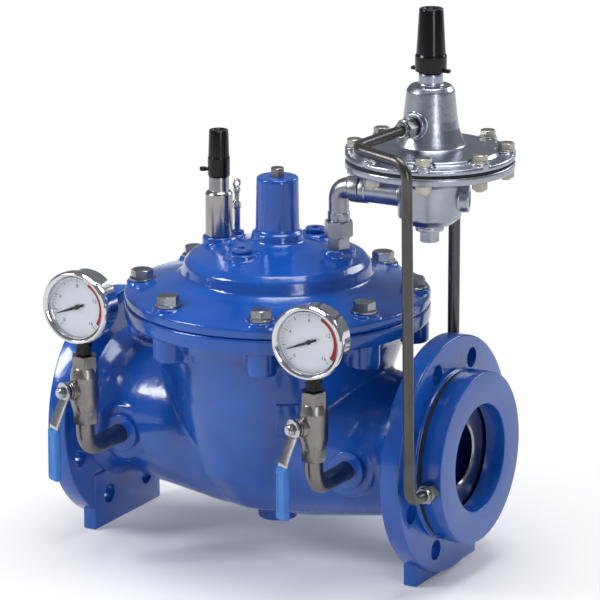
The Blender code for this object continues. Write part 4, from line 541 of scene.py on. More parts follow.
# Plugs
# Pipe plugs that close the tower, the two spare ports of the cover and the drain under the body.
# Each is turned; the port and drain plugs have a hexagon socket, the tower plug a hexagon head.
tower_plug = rod("tower_bleed_plug", 0.005, 0.2328, 0.2420, 32)
combine(tower_plug, [hexagon("head", 0.0118, 0.2403, 0.2483)])
settle(tower_plug, AT_AXIS)
plug_metal = metal("dull_plug_steel", (0.34, 0.33, 0.32), (0.20, 0.19, 0.19), 0.38)
dress(tower_plug, plug_metal, nodes=["tower_plug"])
for port_name in ("front", "rear"):
    seat = DOME_TOP + 0.0003
    outline = [
        (0, seat - 0.009), (0.0065, seat - 0.009), (0.0065, seat),
        (0.0095, seat), (0.0095, seat + 0.004), (0, seat + 0.004),
    ]
    made = turned(f"{port_name}_socket_plug", soft_corners(outline, 0.0008, 3), 48)
    combine(made, [hexagon("socket", 0.006, seat - 0.003, seat + 0.010)], "DIFFERENCE")
    settle(made, AT_AXIS @ at(*PORTS[port_name], 0))
    dress(made, blue_enamel, nodes=[f"{port_name}_port_plug"])
drain = rod("drain_socket_plug", 0.0105, -0.089, -0.0753, 40, edge=0.0006)
combine(drain, [hexagon("socket", 0.009, -0.095, -0.082)], "DIFFERENCE")
dress(settle(drain, AT_AXIS), blue_enamel, nodes=["drain_plug"])

# Speed valve
# The needle valve on the left of the dome: a plain steel barrel with a slimmer neck above its shoulder.
# The gloss black cap has a small seal tab near its base and lifts off the neck.
SPEED_SEAT = DOME_TOP + 0.0003
AT_SPEED = AT_AXIS @ at(*PORTS["speed"], SPEED_SEAT)
speed_outline = [
    (0.0, -0.009), (0.0065, -0.009), (0.0065, 0.0), (0.01275, 0.0), (0.01275, 0.0400),
    (0.0118, 0.0415), (0.0108, 0.0425), (0.0095, 0.0428), (0.0095, 0.0565), (0.0039, 0.0565),
    (0.0039, 0.0120), (0.0, 0.0100),
]
speed_barrel = turned("speed_valve_barrel", soft_corners(speed_outline, 0.0008, 3), 64, AT_SPEED)
satin_steel = metal("satin_steel", (0.42, 0.41, 0.43), (0.27, 0.26, 0.27), 0.22, 320.0, 0.00002)
dress(speed_barrel, satin_steel, nodes=["speed_valve_body"])


def gloss_black(name):
    made = Finish(name, (0.003, 0.003, 0.004), 0.0, 0.18)
    made.shader.inputs["Specular IOR Level"].default_value = 0.32
    cloud = made.noise(60.0, 3.0)
    made.tint((0.002, 0.002, 0.003), (0.005, 0.005, 0.006), cloud)
    made.feed("Roughness", 0.13 + 0.12 * cloud)
    made.bump(cloud, 0.00008)
    return made.material


black_gloss = gloss_black("black_gloss_plastic")
CAP_LOW = 0.0568
cap_outline = [
    (0.0065, CAP_LOW), (0.01035, CAP_LOW), (0.01035, CAP_LOW + 0.0175),
    (0.0098, CAP_LOW + 0.0190), (0.0090, CAP_LOW + 0.0440), (0.0058, CAP_LOW + 0.0440),
    (0.0052, CAP_LOW + 0.0430), (0.0, CAP_LOW + 0.0428), (0.0, CAP_LOW + 0.017),
    (0.0065, CAP_LOW + 0.016),
]
CAP_ARC = 3  # steps of each corner; the corner at the mouth is left out, so the bore opens outward
cap_line = soft_corners(cap_outline, 0.0014, CAP_ARC, True)[CAP_ARC:]
speed_cap = turned("speed_valve_black_cap", cap_line, 64, closed=True)
tab = rod("tab", 0.0034, CAP_LOW + 0.0040, CAP_LOW + 0.0072, 24, at(-0.0145, -0.004, 0), 0.0006)
bridge = slab("bridge", (0.008, 0.004, 0.0026), (-0.0115, -0.003, CAP_LOW + 0.0056), 0.0004)
combine(speed_cap, [bridge, tab])
dress(settle(speed_cap, AT_SPEED), black_gloss, "speed_cap", ["speed_valve_cap"])

# Vent cock
# The slim bleed cock behind the speed valve, plated steel, with a flat ring at its top as a finger hold.
# The stem is turned and the ring is a torus joined to it.
vent_top = DOME_TOP + 0.050
vent_outline = [
    (0.0, 0.1708), (0.0033, 0.1708), (0.0033, 0.1965), (0.0041, 0.1985), (0.0041, 0.2035),
    (0.0025, 0.2055), (0.0025, 0.2120), (0.0034, 0.2135), (0.0034, 0.2165), (0.0, 0.2180),
]
vent = turned("vent_cock_stem", soft_corners(vent_outline, 0.0006, 2), 32)
bpy.ops.object.select_all(action="DESELECT")
bpy.ops.mesh.primitive_torus_add(
    major_radius=0.0036, minor_radius=0.0012, major_segments=32, minor_segments=12,
)
ring = bpy.context.object
settle(ring, at(0, 0, vent_top - 0.0048) @ about_z(radians(70)) @ TO_FRONT)
combine(vent, [ring])
dress(settle(vent, AT_AXIS @ at(*VENT_PORT, 0)), bright_steel, nodes=["vent_cock"])

# Pilot connection
# Steel union, street elbow and lock nut that carry the pilot on the right of the dome.
# The union is a stack of hexagons and the elbow a bent pipe with a swollen end.
ELBOW_AXIS = 0.235
PILOT_BODY_FACE = pilot_centre.x - 0.069
cast_steel = metal("grey_cast_steel", (0.38, 0.39, 0.44), (0.24, 0.25, 0.29), 0.30, 210.0, 0.00014)


def bent_bar(name, corners, bend, radius, sides=32, steps=10):
    """A round bar along straight legs: a circle is extruded along each leg and spun round each bend."""
    points = [Vector(corner) for corner in corners]
    legs = [(after - before).normalized() for before, after in zip(points, points[1:])]
    bpy.ops.object.select_all(action="DESELECT")
    bpy.ops.mesh.primitive_circle_add(vertices=sides, radius=radius, fill_type="NOTHING")
    made = bpy.context.object
    made.name = name
    facing = Vector((0, 0, 1)).rotation_difference(legs[0]).to_matrix().to_4x4()
    settle(made, Matrix.Translation(points[0]) @ facing)
    bpy.ops.object.mode_set(mode="EDIT")
    bpy.ops.mesh.select_all(action="SELECT")
    bpy.ops.mesh.edge_face_add()
    bpy.ops.mesh.select_mode(type="FACE")
    here = points[0]
    for index, corner in enumerate(points[1:-1]):
        turn = legs[index].angle(legs[index + 1])
        reach = bend * tan(turn / 2)
        start = corner - legs[index] * reach
        extrude(*(start - here))
        hinge = legs[index].cross(legs[index + 1]).normalized()
        centre = start + hinge.cross(legs[index]) * bend
        bpy.ops.mesh.spin(steps=steps, angle=-turn, center=centre, axis=hinge)
        here = corner + legs[index + 1] * reach
    extrude(*(points[-1] - here))
    bpy.ops.mesh.select_mode(type="VERT")
    bpy.ops.mesh.select_all(action="SELECT")
    bpy.ops.mesh.remove_doubles(threshold=1e-6)
    close_mesh()
    return made


elbow_x, elbow_y = PORTS["pilot"]
union_low = DOME_TOP + 0.0003
elbow_corners = [(0, 0, 0.205), (0, 0, ELBOW_AXIS), (0.0128, 0, ELBOW_AXIS)]
along_arm = at(0, 0, ELBOW_AXIS) @ TO_X
elbow = bent_bar("pilot_union_elbow", elbow_corners, 0.0115, 0.0095, 40, 12)
union_parts = [
    rod("shank", 0.0065, union_low - 0.009, union_low + 0.002, 32),
    hexagon("foot_hex", 0.0195, union_low, union_low + 0.0112),
    hexagon(
        "union_nut", 0.0235, union_low + 0.0112, union_low + 0.0262, about_z(radians(12)), 0.0014, 0.0014,
    ),
    rod("collar", 0.0104, union_low + 0.0255, union_low + 0.0345, 48, edge=0.0010),
    rod("end_bead", 0.0106, 0.0090, 0.0145, 48, along_arm, 0.0012),
    rod("nipple", 0.0064, 0.010, PILOT_BODY_FACE - elbow_x - 0.0004, 32, along_arm),
]
combine(elbow, union_parts)
dress(settle(elbow, AT_AXIS @ at(elbow_x, elbow_y, 0)), cast_steel, nodes=["pilot_elbow"])
lock_nut = rod("pilot_lock_ring", 0.013, -0.0108, -0.0004, 64, edge=0.0012)
combine(lock_nut, [rod("bore", 0.0067, -0.02, 0.01, 32)], "DIFFERENCE")
settle(lock_nut, AT_AXIS @ at(PILOT_BODY_FACE, elbow_y, ELBOW_AXIS) @ TO_X)
dress(lock_nut, cast_steel, nodes=["pilot_lock_nut"])

# Pilot body and bonnet
# The adjustable pilot, bluish grey cast steel: a cup with two arms, and a bell on a wide round flange.
# Both are turned and blended; the bonnet's flange is stepped down in a pocket round each bolt.
AT_PILOT = AT_AXIS @ at(pilot_centre.x, pilot_centre.y, 0)
PILOT_JOINT = 0.271
PILOT_RIM_LOW = PILOT_JOINT - 0.0075
PILOT_DISC = 0.0774
BONNET_LOW = 0.2730
BONNET_RIM = BONNET_LOW + 0.0055
BELL_TOP = 0.340
PILOT_BOLT_COUNT = 8
PILOT_BOLTS = around(PILOT_BOLT_COUNT, 0.069, pi / PILOT_BOLT_COUNT)
pilot_casting = metal("pilot_casting", (0.44, 0.46, 0.53), (0.30, 0.32, 0.38), 0.30, 240.0, 0.00018)
cup_outline = [
    (0.0, 0.212), (0.0215, 0.212), (0.0290, 0.2185), (0.0292, 0.2495), (0.0380, 0.2580),
    (0.0600, PILOT_RIM_LOW), (PILOT_DISC, PILOT_RIM_LOW), (PILOT_DISC, PILOT_JOINT),
    (0.0, PILOT_JOINT),
]
pilot_cup = turned("pilot_cup", soft_corners(cup_outline, 0.0022, 4), 128)
AT_ARM = at(0, 0, ELBOW_AXIS)
REAR_TUBE_HEIGHT = 0.232
to_inlet = AT_ARM @ about_z(pi) @ TO_X
to_side = AT_ARM @ about_z(radians(22)) @ TO_X
to_rear = at(0, 0, REAR_TUBE_HEIGHT) @ about_z(pi / 2) @ TO_X
arms = [
    rod("inlet_arm", 0.0115, 0.015, 0.069, 48, to_inlet, 0.0012),
    rod("arm_bead", 0.0128, 0.0625, 0.0690, 48, to_inlet, 0.0012),
    rod("side_port", 0.0125, 0.015, 0.0365, 48, to_side, 0.0012),
    rod("rear_port", 0.0095, 0.015, 0.034, 32, to_rear, 0.001),
]
combine(pilot_cup, arms)
cast(pilot_cup, 0.0009, 3)
bores = rod("chamber", 0.056, 0.2672, 0.280, 64)
combine(bores, [
    rod("bore", 0.0026, 0.240, 0.275, 24),
    rod("bore", 0.0093, 0.200, 0.2355, 32),
    rod("bore", 0.0074, 0.022, 0.045, 32, to_side),
    rod("bore", 0.0062, 0.027, 0.045, 24, to_rear),
])
combine(bores, [rod("bolt_hole", 0.0043, 0.255, 0.280, 20, place) for place in PILOT_BOLTS])
combine(pilot_cup, [bores], "DIFFERENCE")
dress(settle(pilot_cup, AT_PILOT), pilot_casting, nodes=["pilot_body"], angle=38)

bell_outline = [
    (0.0, BONNET_LOW), (PILOT_DISC, BONNET_LOW), (PILOT_DISC, BONNET_RIM),
    (0.0650, BONNET_RIM + 0.0008), (0.0625, BONNET_RIM + 0.0042), (0.0350, BONNET_RIM + 0.0062),
    (0.0318, BONNET_RIM + 0.0070), (0.0302, BONNET_RIM + 0.0110), (0.0262, 0.3010),
    (0.0247, 0.3100), (0.0219, 0.3360), (0.0185, BELL_TOP + 0.0006), (0.0112, BELL_TOP),
    (0.0110, 0.3525), (0.0, 0.3525),
]
bell = turned("pilot_bell", soft_corners(bell_outline, 0.003, 4), 128)
BELL_PORT = 0.307
PORT_TURN = radians(-98)
AT_PORT = at(0, 0, BELL_PORT) @ about_z(PORT_TURN) @ TO_X
pockets = [rod("pocket", 0.0112, BONNET_RIM + 0.0003, BONNET_RIM + 0.02, 40, place) for place in PILOT_BOLTS]
combine(bell, [combine(pockets[0], pockets[1:])], "DIFFERENCE")
lands = [
    rod("bolt_land", 0.0088, BONNET_LOW + 0.002, BONNET_RIM + 0.003, 32, place, 0.0008)
    for place in PILOT_BOLTS
]
combine(bell, lands + [rod("port_collar", 0.0118, 0.012, 0.0282, 48, AT_PORT, 0.0012)])
cast(bell, 0.0009, 2)
spring_room = [
    (0.0, BONNET_LOW - 0.002), (0.056, BONNET_LOW - 0.002), (0.052, 0.2755),
    (0.026, 0.2825), (0.0168, 0.2985), (0.0168, 0.335),
]
spring_room += [(0.0044, 0.335), (0.0044, 0.356), (0.0, 0.356)]
port_hole = rod("port_hole", 0.0056, 0.018, 0.04, 24, AT_PORT)
combine(bell, [turned("spring_room", spring_room, 64), port_hole], "DIFFERENCE")
dress(settle(bell, AT_PILOT), pilot_casting, nodes=["pilot_bonnet"], angle=38)

# Pilot bolts
# Eight hex bolts with their nuts that clamp the pilot's diaphragm, yellowish zinc plate.
# One bolt with its nut is made and copied round the flange.
yellow_zinc = metal("yellow_zinc", (0.50, 0.49, 0.43), (0.34, 0.33, 0.29), 0.33)
LAND_TOP = BONNET_RIM + 0.003
pilot_bolt = rod("pilot_bolt", 0.004, PILOT_RIM_LOW - 0.0092, LAND_TOP + 0.001, 24, edge=0.0005)
bolt_parts = [
    rod("washer", 0.0080, LAND_TOP + 0.0001, LAND_TOP + 0.0014, 40, edge=0.0003),
    hexagon("head", 0.013, LAND_TOP + 0.0012, LAND_TOP + 0.0072, top=0.0010),
    hexagon("nut", 0.013, PILOT_RIM_LOW - 0.0072, PILOT_RIM_LOW - 0.0002, top=0.0, bottom=0.0010),
]
combine(pilot_bolt, bolt_parts)
for number, place in enumerate(PILOT_BOLTS, start=1):
    tilt = about_z(radians(23 * number))
    spot = AT_PILOT @ Matrix.Translation(place.translation) @ tilt
    made = copied(pilot_bolt, f"pilot_hex_bolt_{number}", spot)
    dress(made, yellow_zinc)
bpy.data.objects.remove(pilot_bolt)

# Pilot bottom plug and cap
# The plug that closes the cup from below, and the gloss black cap over the adjusting screw.
# The cap has a stepped collar with two lugs at its base and a shallow dimple in its top.
bottom_outline = [
    (0, 0.2100), (0.0122, 0.2100), (0.0122, 0.2117), (0.009, 0.2117), (0.009, 0.2217), (0, 0.2217),
]
bottom_plug = turned("pilot_bottom_cap_nut", soft_corners(bottom_outline, 0.0005, 2), 48)
plug_parts = [
    rod("ring", 0.0140, 0.2088, 0.2116, 56, edge=0.0009),
    rod("ring", 0.0132, 0.2052, 0.2092, 56, edge=0.0009),
    hexagon("hex", 0.0172, 0.1947, 0.2060, top=0.0, bottom=0.0012),
]
combine(bottom_plug, plug_parts)
dress(settle(bottom_plug, AT_PILOT), pilot_casting, nodes=["pilot_bottom_plug"])
CAP_BASE = 0.3528
big_cap_outline = [
    (0.0070, CAP_BASE), (0.0145, CAP_BASE), (0.0145, CAP_BASE + 0.0145),
    (0.0134, CAP_BASE + 0.0165), (0.0110, CAP_BASE + 0.0580), (0.0066, CAP_BASE + 0.0580),
    (0.0060, CAP_BASE + 0.0566), (0.0, CAP_BASE + 0.0562), (0.0, CAP_BASE + 0.0310),
    (0.0070, CAP_BASE + 0.0300),
]
BIG_CAP_ARC = 4  # steps of each corner; the corner at the mouth is left out, so the bore opens outward
big_cap_line = soft_corners(big_cap_outline, 0.0016, BIG_CAP_ARC, True)[BIG_CAP_ARC + 1:]
big_cap = turned("pilot_black_cap", big_cap_line, 72, closed=True)
LUG_SIZE = (0.0062, 0.0052, 0.0030)
lugs = [slab("lug", LUG_SIZE, (side * 0.0162, 0, CAP_BASE + 0.0016), 0.0006) for side in (-1, 1)]
combine(big_cap, lugs)
dress(settle(big_cap, AT_PILOT), black_gloss, "pilot_cap", ["pilot_cap"])

# Sensing tube
# Dark plated steel tube from the bell's side port, over the pilot's flange and down to the orifice ring.
# It is one bent bar with a union nut and a sleeve at each end.
dark_tube = metal(
    "dark_tube_plate", (0.115, 0.110, 0.108), (0.075, 0.072, 0.072), 0.30, 200.0, metallic=0.85,
)
port_out = Vector((cos(PORT_TURN), sin(PORT_TURN), 0))
bell_port_end = Vector((pilot_centre.x, pilot_centre.y, BELL_PORT)) + port_out * 0.019
sense_corner = Vector((0.134, -0.103, 0.3035))
sense_drop = Vector((0.198, -0.122, 0.300))
ring_middle = (ring_low.x + ring_high.x) / 2 - axis_point.x
SENSE_PORT = -0.0115
RING_RADIUS = 0.0799
ring_side = sqrt(RING_RADIUS**2 - SENSE_PORT**2)
TUBE_BEND = 0.016
tube_corners = [
    bell_port_end,
    sense_corner,
    sense_drop,
    Vector((ring_middle, sense_drop.y, SENSE_PORT)),
    Vector((ring_middle, -ring_side + 0.006, SENSE_PORT)),
]
sense_tube = bent_bar("sensing_tube", tube_corners, TUBE_BEND, 0.005, 32, 12)
dress(settle(sense_tube, AT_AXIS), dark_tube, nodes=["sense_tube"])
fitting_steel = metal("fitting_steel", (0.36, 0.36, 0.36), (0.22, 0.22, 0.23), 0.26)


def tube_nut(name, low, place, node):
    """A compression nut and its sleeve on the tube, bored to clear it."""
    made = hexagon(name, 0.0165, low, low + 0.0115, top=0.0014, bottom=0.0008)
    sleeve = rod("sleeve", 0.0072, low + 0.0105, low + 0.0165, 40, edge=0.0010)
    combine(made, [sleeve])
    combine(made, [rod("bore", 0.0053, low - 0.004, low + 0.03, 32)], "DIFFERENCE")
    settle(made, AT_AXIS @ place)
    dress(made, fitting_steel, nodes=[node])


to_ring = at(ring_middle, 0, SENSE_PORT) @ TO_FRONT
tube_nut("ring_compression_nut", ring_side + 0.0013, to_ring, "sense_tube_ring_nut")
tube_way = (sense_corner - bell_port_end).normalized()
lean = Vector((0, 0, 1)).rotation_difference(tube_way).to_matrix().to_4x4()
tube_nut("bell_compression_nut", 0.0108, Matrix.Translation(bell_port_end) @ lean, "sense_tube_bell_nut")

# Rear tube
# The drain tube of the pilot, from the back of the cup down to a boss on the outlet neck.
# It is one bent bar of the same dark tube, a little thicker.
rear_corners = [
    (pilot_centre.x, pilot_centre.y + 0.029, REAR_TUBE_HEIGHT),
    (pilot_centre.x, REAR_TUBE_Y, REAR_TUBE_HEIGHT), (pilot_centre.x, REAR_TUBE_Y, 0.037),
]
rear_tube = bent_bar("pilot_drain_tube", rear_corners, 0.012, 0.0055, 32, 10)
dress(settle(rear_tube, AT_AXIS), dark_tube, nodes=["rear_tube"])

# Orifice ring
# The thick blue ring on the outlet face, with a black gasket behind it and a steel orifice plate in its bore.
# The ring's front has the fine turned grooves of a gasket face, which its finish adds.
gasket_back = RAISED_FRONT + 0.0003
gasket_outline = [(0.0625, gasket_back), (0.078, gasket_back), (0.078, 0.1922), (0.0625, 0.1922)]
gasket = turned("flange_seal", gasket_outline, 128, AT_AXIS @ TO_X, True)
dress(gasket, black_rubber, nodes=["flange_gasket"])
plate_outline = [
    (0.0275, gasket_back), (0.062, gasket_back), (0.062, 0.1913), (0.0292, 0.1913), (0.0275, 0.1899),
]
plate = turned("orifice_disc", soft_corners(plate_outline, 0.0004, 2, True), 128, AT_AXIS @ TO_X, True)
dress(plate, satin_steel, nodes=["orifice_plate"])
ring_back = 0.1925
ring_front = ring_back + 0.020
ring_outline = [
    (PIPE_BORE, ring_back), (RING_RADIUS, ring_back), (RING_RADIUS, ring_front), (PIPE_BORE, ring_front),
]
orifice_ring = turned("orifice_ring_turned", soft_corners(ring_outline, 0.0013, 3, True), 160, TO_X, True)
combine(orifice_ring, [rod("port", 0.0056, ring_side - 0.008, ring_side + 0.02, 32, to_ring)], "DIFFERENCE")
settle(orifice_ring, AT_AXIS)
face_enamel = Finish("ring_enamel", PAINT_LIGHT, 0.0, 0.2, coat=0.25)
where = face_enamel.node("ShaderNodeTexCoord", output="Object")
split = face_enamel.node("ShaderNodeSeparateXYZ", {}, {0: where})
side_y = Signal(face_enamel, split.socket.node.outputs[1]) - axis_point.y
side_z = Signal(face_enamel, split.socket.node.outputs[2]) - axis_point.z
radius_here = (side_y * side_y + side_z * side_z) ** 0.5
grooves = face_enamel.node("ShaderNodeMath", {"operation": "SINE"}, {0: radius_here * 4200.0})
face_level = axis_point.x + ring_front - 0.0006
on_face = face_enamel.node("ShaderNodeMath", {"operation": "GREATER_THAN"}, {0: split, 1: face_level})
ring_cloud = face_enamel.noise(26.0, 4.0)
face_enamel.tint(PAINT_DARK, PAINT_LIGHT, (ring_cloud - 0.25) * 1.7)
face_enamel.feed("Roughness", 0.13 + 0.12 * ring_cloud + on_face * 0.06)
face_enamel.bump(grooves * on_face * 0.5 + face_enamel.noise(130.0, 2.0) * 0.8, 0.00016)
dress(orifice_ring, face_enamel.material, nodes=["orifice_ring"])

# Gauge pipes
# Bent steel pipes that carry the two gauge sets from the bosses on the necks.
# Each is one bent bar that enters its boss and ends under the cock.
COCK_LOW = 0.0185
COCK_HIGH = COCK_LOW + 0.065
STEM_HEIGHT = (COCK_LOW + COCK_HIGH) / 2
LEVER_TURN = radians(26)
GAUGE_NAMES = ("inlet", "outlet")
pipe_corners = [(0, 0.0695, TAP_HEIGHT), (0, 0, TAP_HEIGHT), (0, 0, COCK_LOW - 0.0003)]
pipe_metal = metal("pipe_nickel", (0.26, 0.245, 0.235), (0.15, 0.14, 0.14), 0.30, 160.0, 0.0001)


def both_sets(shape, label, finish, node, body="casing", turns=(0.0, 0.0), angle=32):
    """Put a copy of a gauge-set piece on each side of the valve, where its node is."""
    for gauge_name, along, turn in zip(GAUGE_NAMES, GAUGE_X, turns):
        stand = AT_AXIS @ at(along, GAUGE_Y, 0) @ about_z(turn)
        made = copied(shape, f"{gauge_name}_{label}", stand)
        ride_on = body.format(gauge_name)
        dress(made, finish, ride_on, [f"{gauge_name}_{node}"] if node else [], angle)
    bpy.data.objects.remove(shape)


gauge_pipe = bent_bar("gauge_pipe", pipe_corners, 0.020, 0.0085, 40, 12)
both_sets(gauge_pipe, "gauge_pipe", pipe_metal, "pipe")

# Cocks
# Nickel-plated ball valves under the gauges: a hexagon at each end, a round belly and a stem boss.
# The stem boss leans to the left, because the lever hangs in a plane turned from the front.
nickel = metal("nickel_plate", (0.33, 0.31, 0.30), (0.20, 0.185, 0.18), 0.30, 200.0, 0.00012)
belly = [
    (0.0, COCK_LOW + 0.010), (0.0110, COCK_LOW + 0.010), (0.0132, COCK_LOW + 0.0205),
    (0.0132, COCK_HIGH - 0.0205), (0.0110, COCK_HIGH - 0.010), (0.0, COCK_HIGH - 0.010),
]
cock = turned("cock", soft_corners(belly, 0.004, 4), 64)
STEM_WAY = at(0, 0, STEM_HEIGHT) @ about_z(-LEVER_TURN) @ TO_FRONT
cock_parts = [
    hexagon("low_hex", 0.0215, COCK_LOW, COCK_LOW + 0.0165, top=0.0012, bottom=0.0012),
    hexagon("high_hex", 0.0215, COCK_HIGH - 0.0165, COCK_HIGH, top=0.0012, bottom=0.0012),
    rod("stem_boss", 0.0092, 0.004, 0.0165, 48, STEM_WAY, 0.0010),
    rod("stem_gland", 0.0078, 0.010, 0.0182, 48, STEM_WAY, 0.0008),
]
combine(cock, cock_parts)
cock_hollow = rod("way", 0.005, COCK_LOW - 0.004, COCK_HIGH + 0.004, 32)
bpy.ops.object.select_all(action="DESELECT")
bpy.ops.mesh.primitive_uv_sphere_add(segments=32, ring_count=16, radius=0.0094, location=(0, 0, STEM_HEIGHT))
ball_room = settle(bpy.context.object, at(0, 0, STEM_HEIGHT))
combine(cock_hollow, [ball_room, rod("stem_way", 0.0036, 0.002, 0.024, 24, STEM_WAY)])
combine(cock, [cock_hollow], "DIFFERENCE")
both_sets(cock, "ball_cock", nickel, "cock_body")

# Balls and levers
# The steel ball, stem and nut of each cock, the bent steel lever on it and its blue moulded grip.
# They turn together about the stem; the grip is a squared oval with a raised edge round a bare flat.
ball_pivot = at(0, 0, STEM_HEIGHT) @ about_z(-LEVER_TURN)
HUB = 0.0215
THICK = 0.0024
bpy.ops.object.select_all(action="DESELECT")
bpy.ops.mesh.primitive_uv_sphere_add(segments=32, ring_count=16, radius=0.0082)
ball = bpy.context.object
combine(ball, [
    rod("stem", 0.0032, 0.004, HUB + THICK + 0.0060, 24, TO_FRONT, 0.0004),
    hexagon("nut", 0.0092, HUB + THICK + 0.0003, HUB + THICK + 0.0048, TO_FRONT, 0.0008),
])
combine(ball, [rod("ball_way", 0.0046, -0.02, 0.02, 24)], "DIFFERENCE")
settle(ball, ball_pivot)
both_sets(ball, "ball_and_stem", bright_steel, "cock_ball", "{}_lever")

SLOPE_DROP = 0.030
SLOPE_OUT = 0.011
blade_line = [
    (HUB, 0.003), (HUB, -0.0065), (HUB + SLOPE_OUT, -SLOPE_DROP), (HUB + SLOPE_OUT, -SLOPE_DROP - 0.048),
]
BLADE_WIDTH = 0.0115
blade_path = soft_corners(blade_line, 0.006, 4)
lever = drawn("lever", [(-BLADE_WIDTH / 2, -out - THICK, height) for out, height in blade_path])
extrude(BLADE_WIDTH, 0, 0)
close_mesh()
thicken = lever.modifiers.new("thicken", "SOLIDIFY")
thicken.thickness = THICK
thicken.offset = -1.0
apply_step(lever, thicken)
combine(lever, [rod("hub", 0.0095, HUB, HUB + THICK, 48, TO_FRONT)])
combine(lever, [rod("hub_hole", 0.0035, HUB - 0.004, HUB + 0.008, 24, TO_FRONT)], "DIFFERENCE")
edged(lever, 0.0004)
settle(lever, ball_pivot)
both_sets(lever, "steel_lever", bright_steel, "lever", "{}_lever")

GRIP_TOP = -SLOPE_DROP - 0.003
GRIP_END = GRIP_TOP - 0.050
grip_out = HUB + SLOPE_OUT + THICK / 2
grip_size = (0.0152, 0.0068, GRIP_TOP - GRIP_END)
grip = slab("grip", grip_size, (0, -grip_out, (GRIP_TOP + GRIP_END) / 2), 0.0026)
recess_size = (0.0092, 0.004, 0.036)
recess = slab("recess", recess_size, (0, -grip_out - 0.0034 - 0.0014, (GRIP_TOP + GRIP_END) / 2), 0.0008)
slot = slab("slot", (0.0121, 0.0030, 0.0455), (0, -grip_out, GRIP_TOP - 0.0225), 0.0003)
combine(grip, [recess, slot], "DIFFERENCE")
settle(grip, ball_pivot)


def moulded(name, light, dark):
    made = Finish(name, light, 0.0, 0.38)
    cloud = made.noise(70.0, 3.0)
    grain = made.noise(500.0, 3.0)
    made.tint(dark, light, (cloud - 0.25) * 1.6)
    made.feed("Roughness", 0.32 + 0.18 * cloud)
    made.bump(grain, 0.00008)
    return made.material


grip_blue = moulded("grip_blue", (0.035, 0.19, 0.56), (0.022, 0.14, 0.46))
both_sets(grip, "lever_sleeve", grip_blue, "lever_grip", "{}_lever")

# Gauge cases
# Polished steel gauge cases with a rolled bezel, 69 mm across, and a black stem screwed into the cock.
# The case is turned as a cup whose floor carries the white dial.
GAUGE_HEIGHT = 0.1315
GAUGE_FRONT = 0.018
GAUGE_BACK = -0.010
DIAL_LEVEL = GAUGE_FRONT - 0.0075
TURNS = (0.0, radians(6))
AT_DIAL = at(0, 0, GAUGE_HEIGHT) @ TO_FRONT
case_outline = [
    (0.0, GAUGE_BACK), (0.0312, GAUGE_BACK), (0.0318, GAUGE_BACK + 0.001), (0.0318, 0.0085),
    (0.0345, 0.0095), (0.0345, 0.0150), (0.0330, 0.0178), (0.0310, 0.0180), (0.0290, 0.0160),
    (0.0285, 0.0135), (0.0285, DIAL_LEVEL), (0.0, DIAL_LEVEL),
]
case = turned("case", soft_corners(case_outline, 0.0009, 3), 128, AT_DIAL)
combine(case, [rod("neck", 0.0060, COCK_HIGH + 0.0004, GAUGE_HEIGHT - 0.0300, 40)])
polished = Finish("polished_steel", (0.66, 0.66, 0.68), 1.0, 0.10)
polish_cloud = polished.noise(30.0, 3.0)
polished.feed("Roughness", 0.06 + 0.08 * polish_cloud)
polished.bump(polished.noise(12.0, 2.0), 0.0004)
both_sets(case, "gauge_shell", polished.material, "gauge_case", turns=TURNS)
neck_nut = hexagon("neck_nut", 0.0140, COCK_HIGH + 0.0002, COCK_HIGH + 0.0095, top=0.001)
combine(neck_nut, [rod("neck_ring", 0.0078, COCK_HIGH + 0.0085, COCK_HIGH + 0.0128, 40, edge=0.0006)])
combine(neck_nut, [rod("neck_bore", 0.0062, COCK_HIGH - 0.002, COCK_HIGH + 0.02, 40)], "DIFFERENCE")
both_sets(neck_nut, "gauge_neck_nut", black_gloss, "", turns=TURNS)

# Dials
# White printed dials behind the glass: a plain pressure scale with a red arc from one to four o'clock.
# The print is thin raised shapes on a white disc; the numbers are plain figures in the standard font.
white_card = Finish("dial_white", (0.80, 0.82, 0.86), 0.0, 0.5)
card_cloud = white_card.noise(40.0, 2.0)
white_card.tint((0.76, 0.78, 0.83), (0.84, 0.86, 0.89), card_cloud)
print_black = moulded("print_black", (0.02, 0.02, 0.025), (0.012, 0.012, 0.015))
print_red = moulded("print_red", (0.50, 0.012, 0.02), (0.38, 0.008, 0.014))
card = rod("card", 0.0283, DIAL_LEVEL + 0.0001, DIAL_LEVEL + 0.0002, 96, AT_DIAL)
both_sets(card, "dial_card", white_card.material, "", turns=TURNS)
PRINT_LEVEL = DIAL_LEVEL + 0.00022
SCALE_START = radians(225)
SCALE_SWEEP = radians(270)


def joined(pieces, name):
    """Join loose shapes into one mesh."""
    bpy.ops.object.select_all(action="DESELECT")
    for part in pieces:
        part.select_set(True)
    bpy.context.view_layer.objects.active = pieces[0]
    bpy.ops.object.join()
    pieces[0].name = name
    return pieces[0]


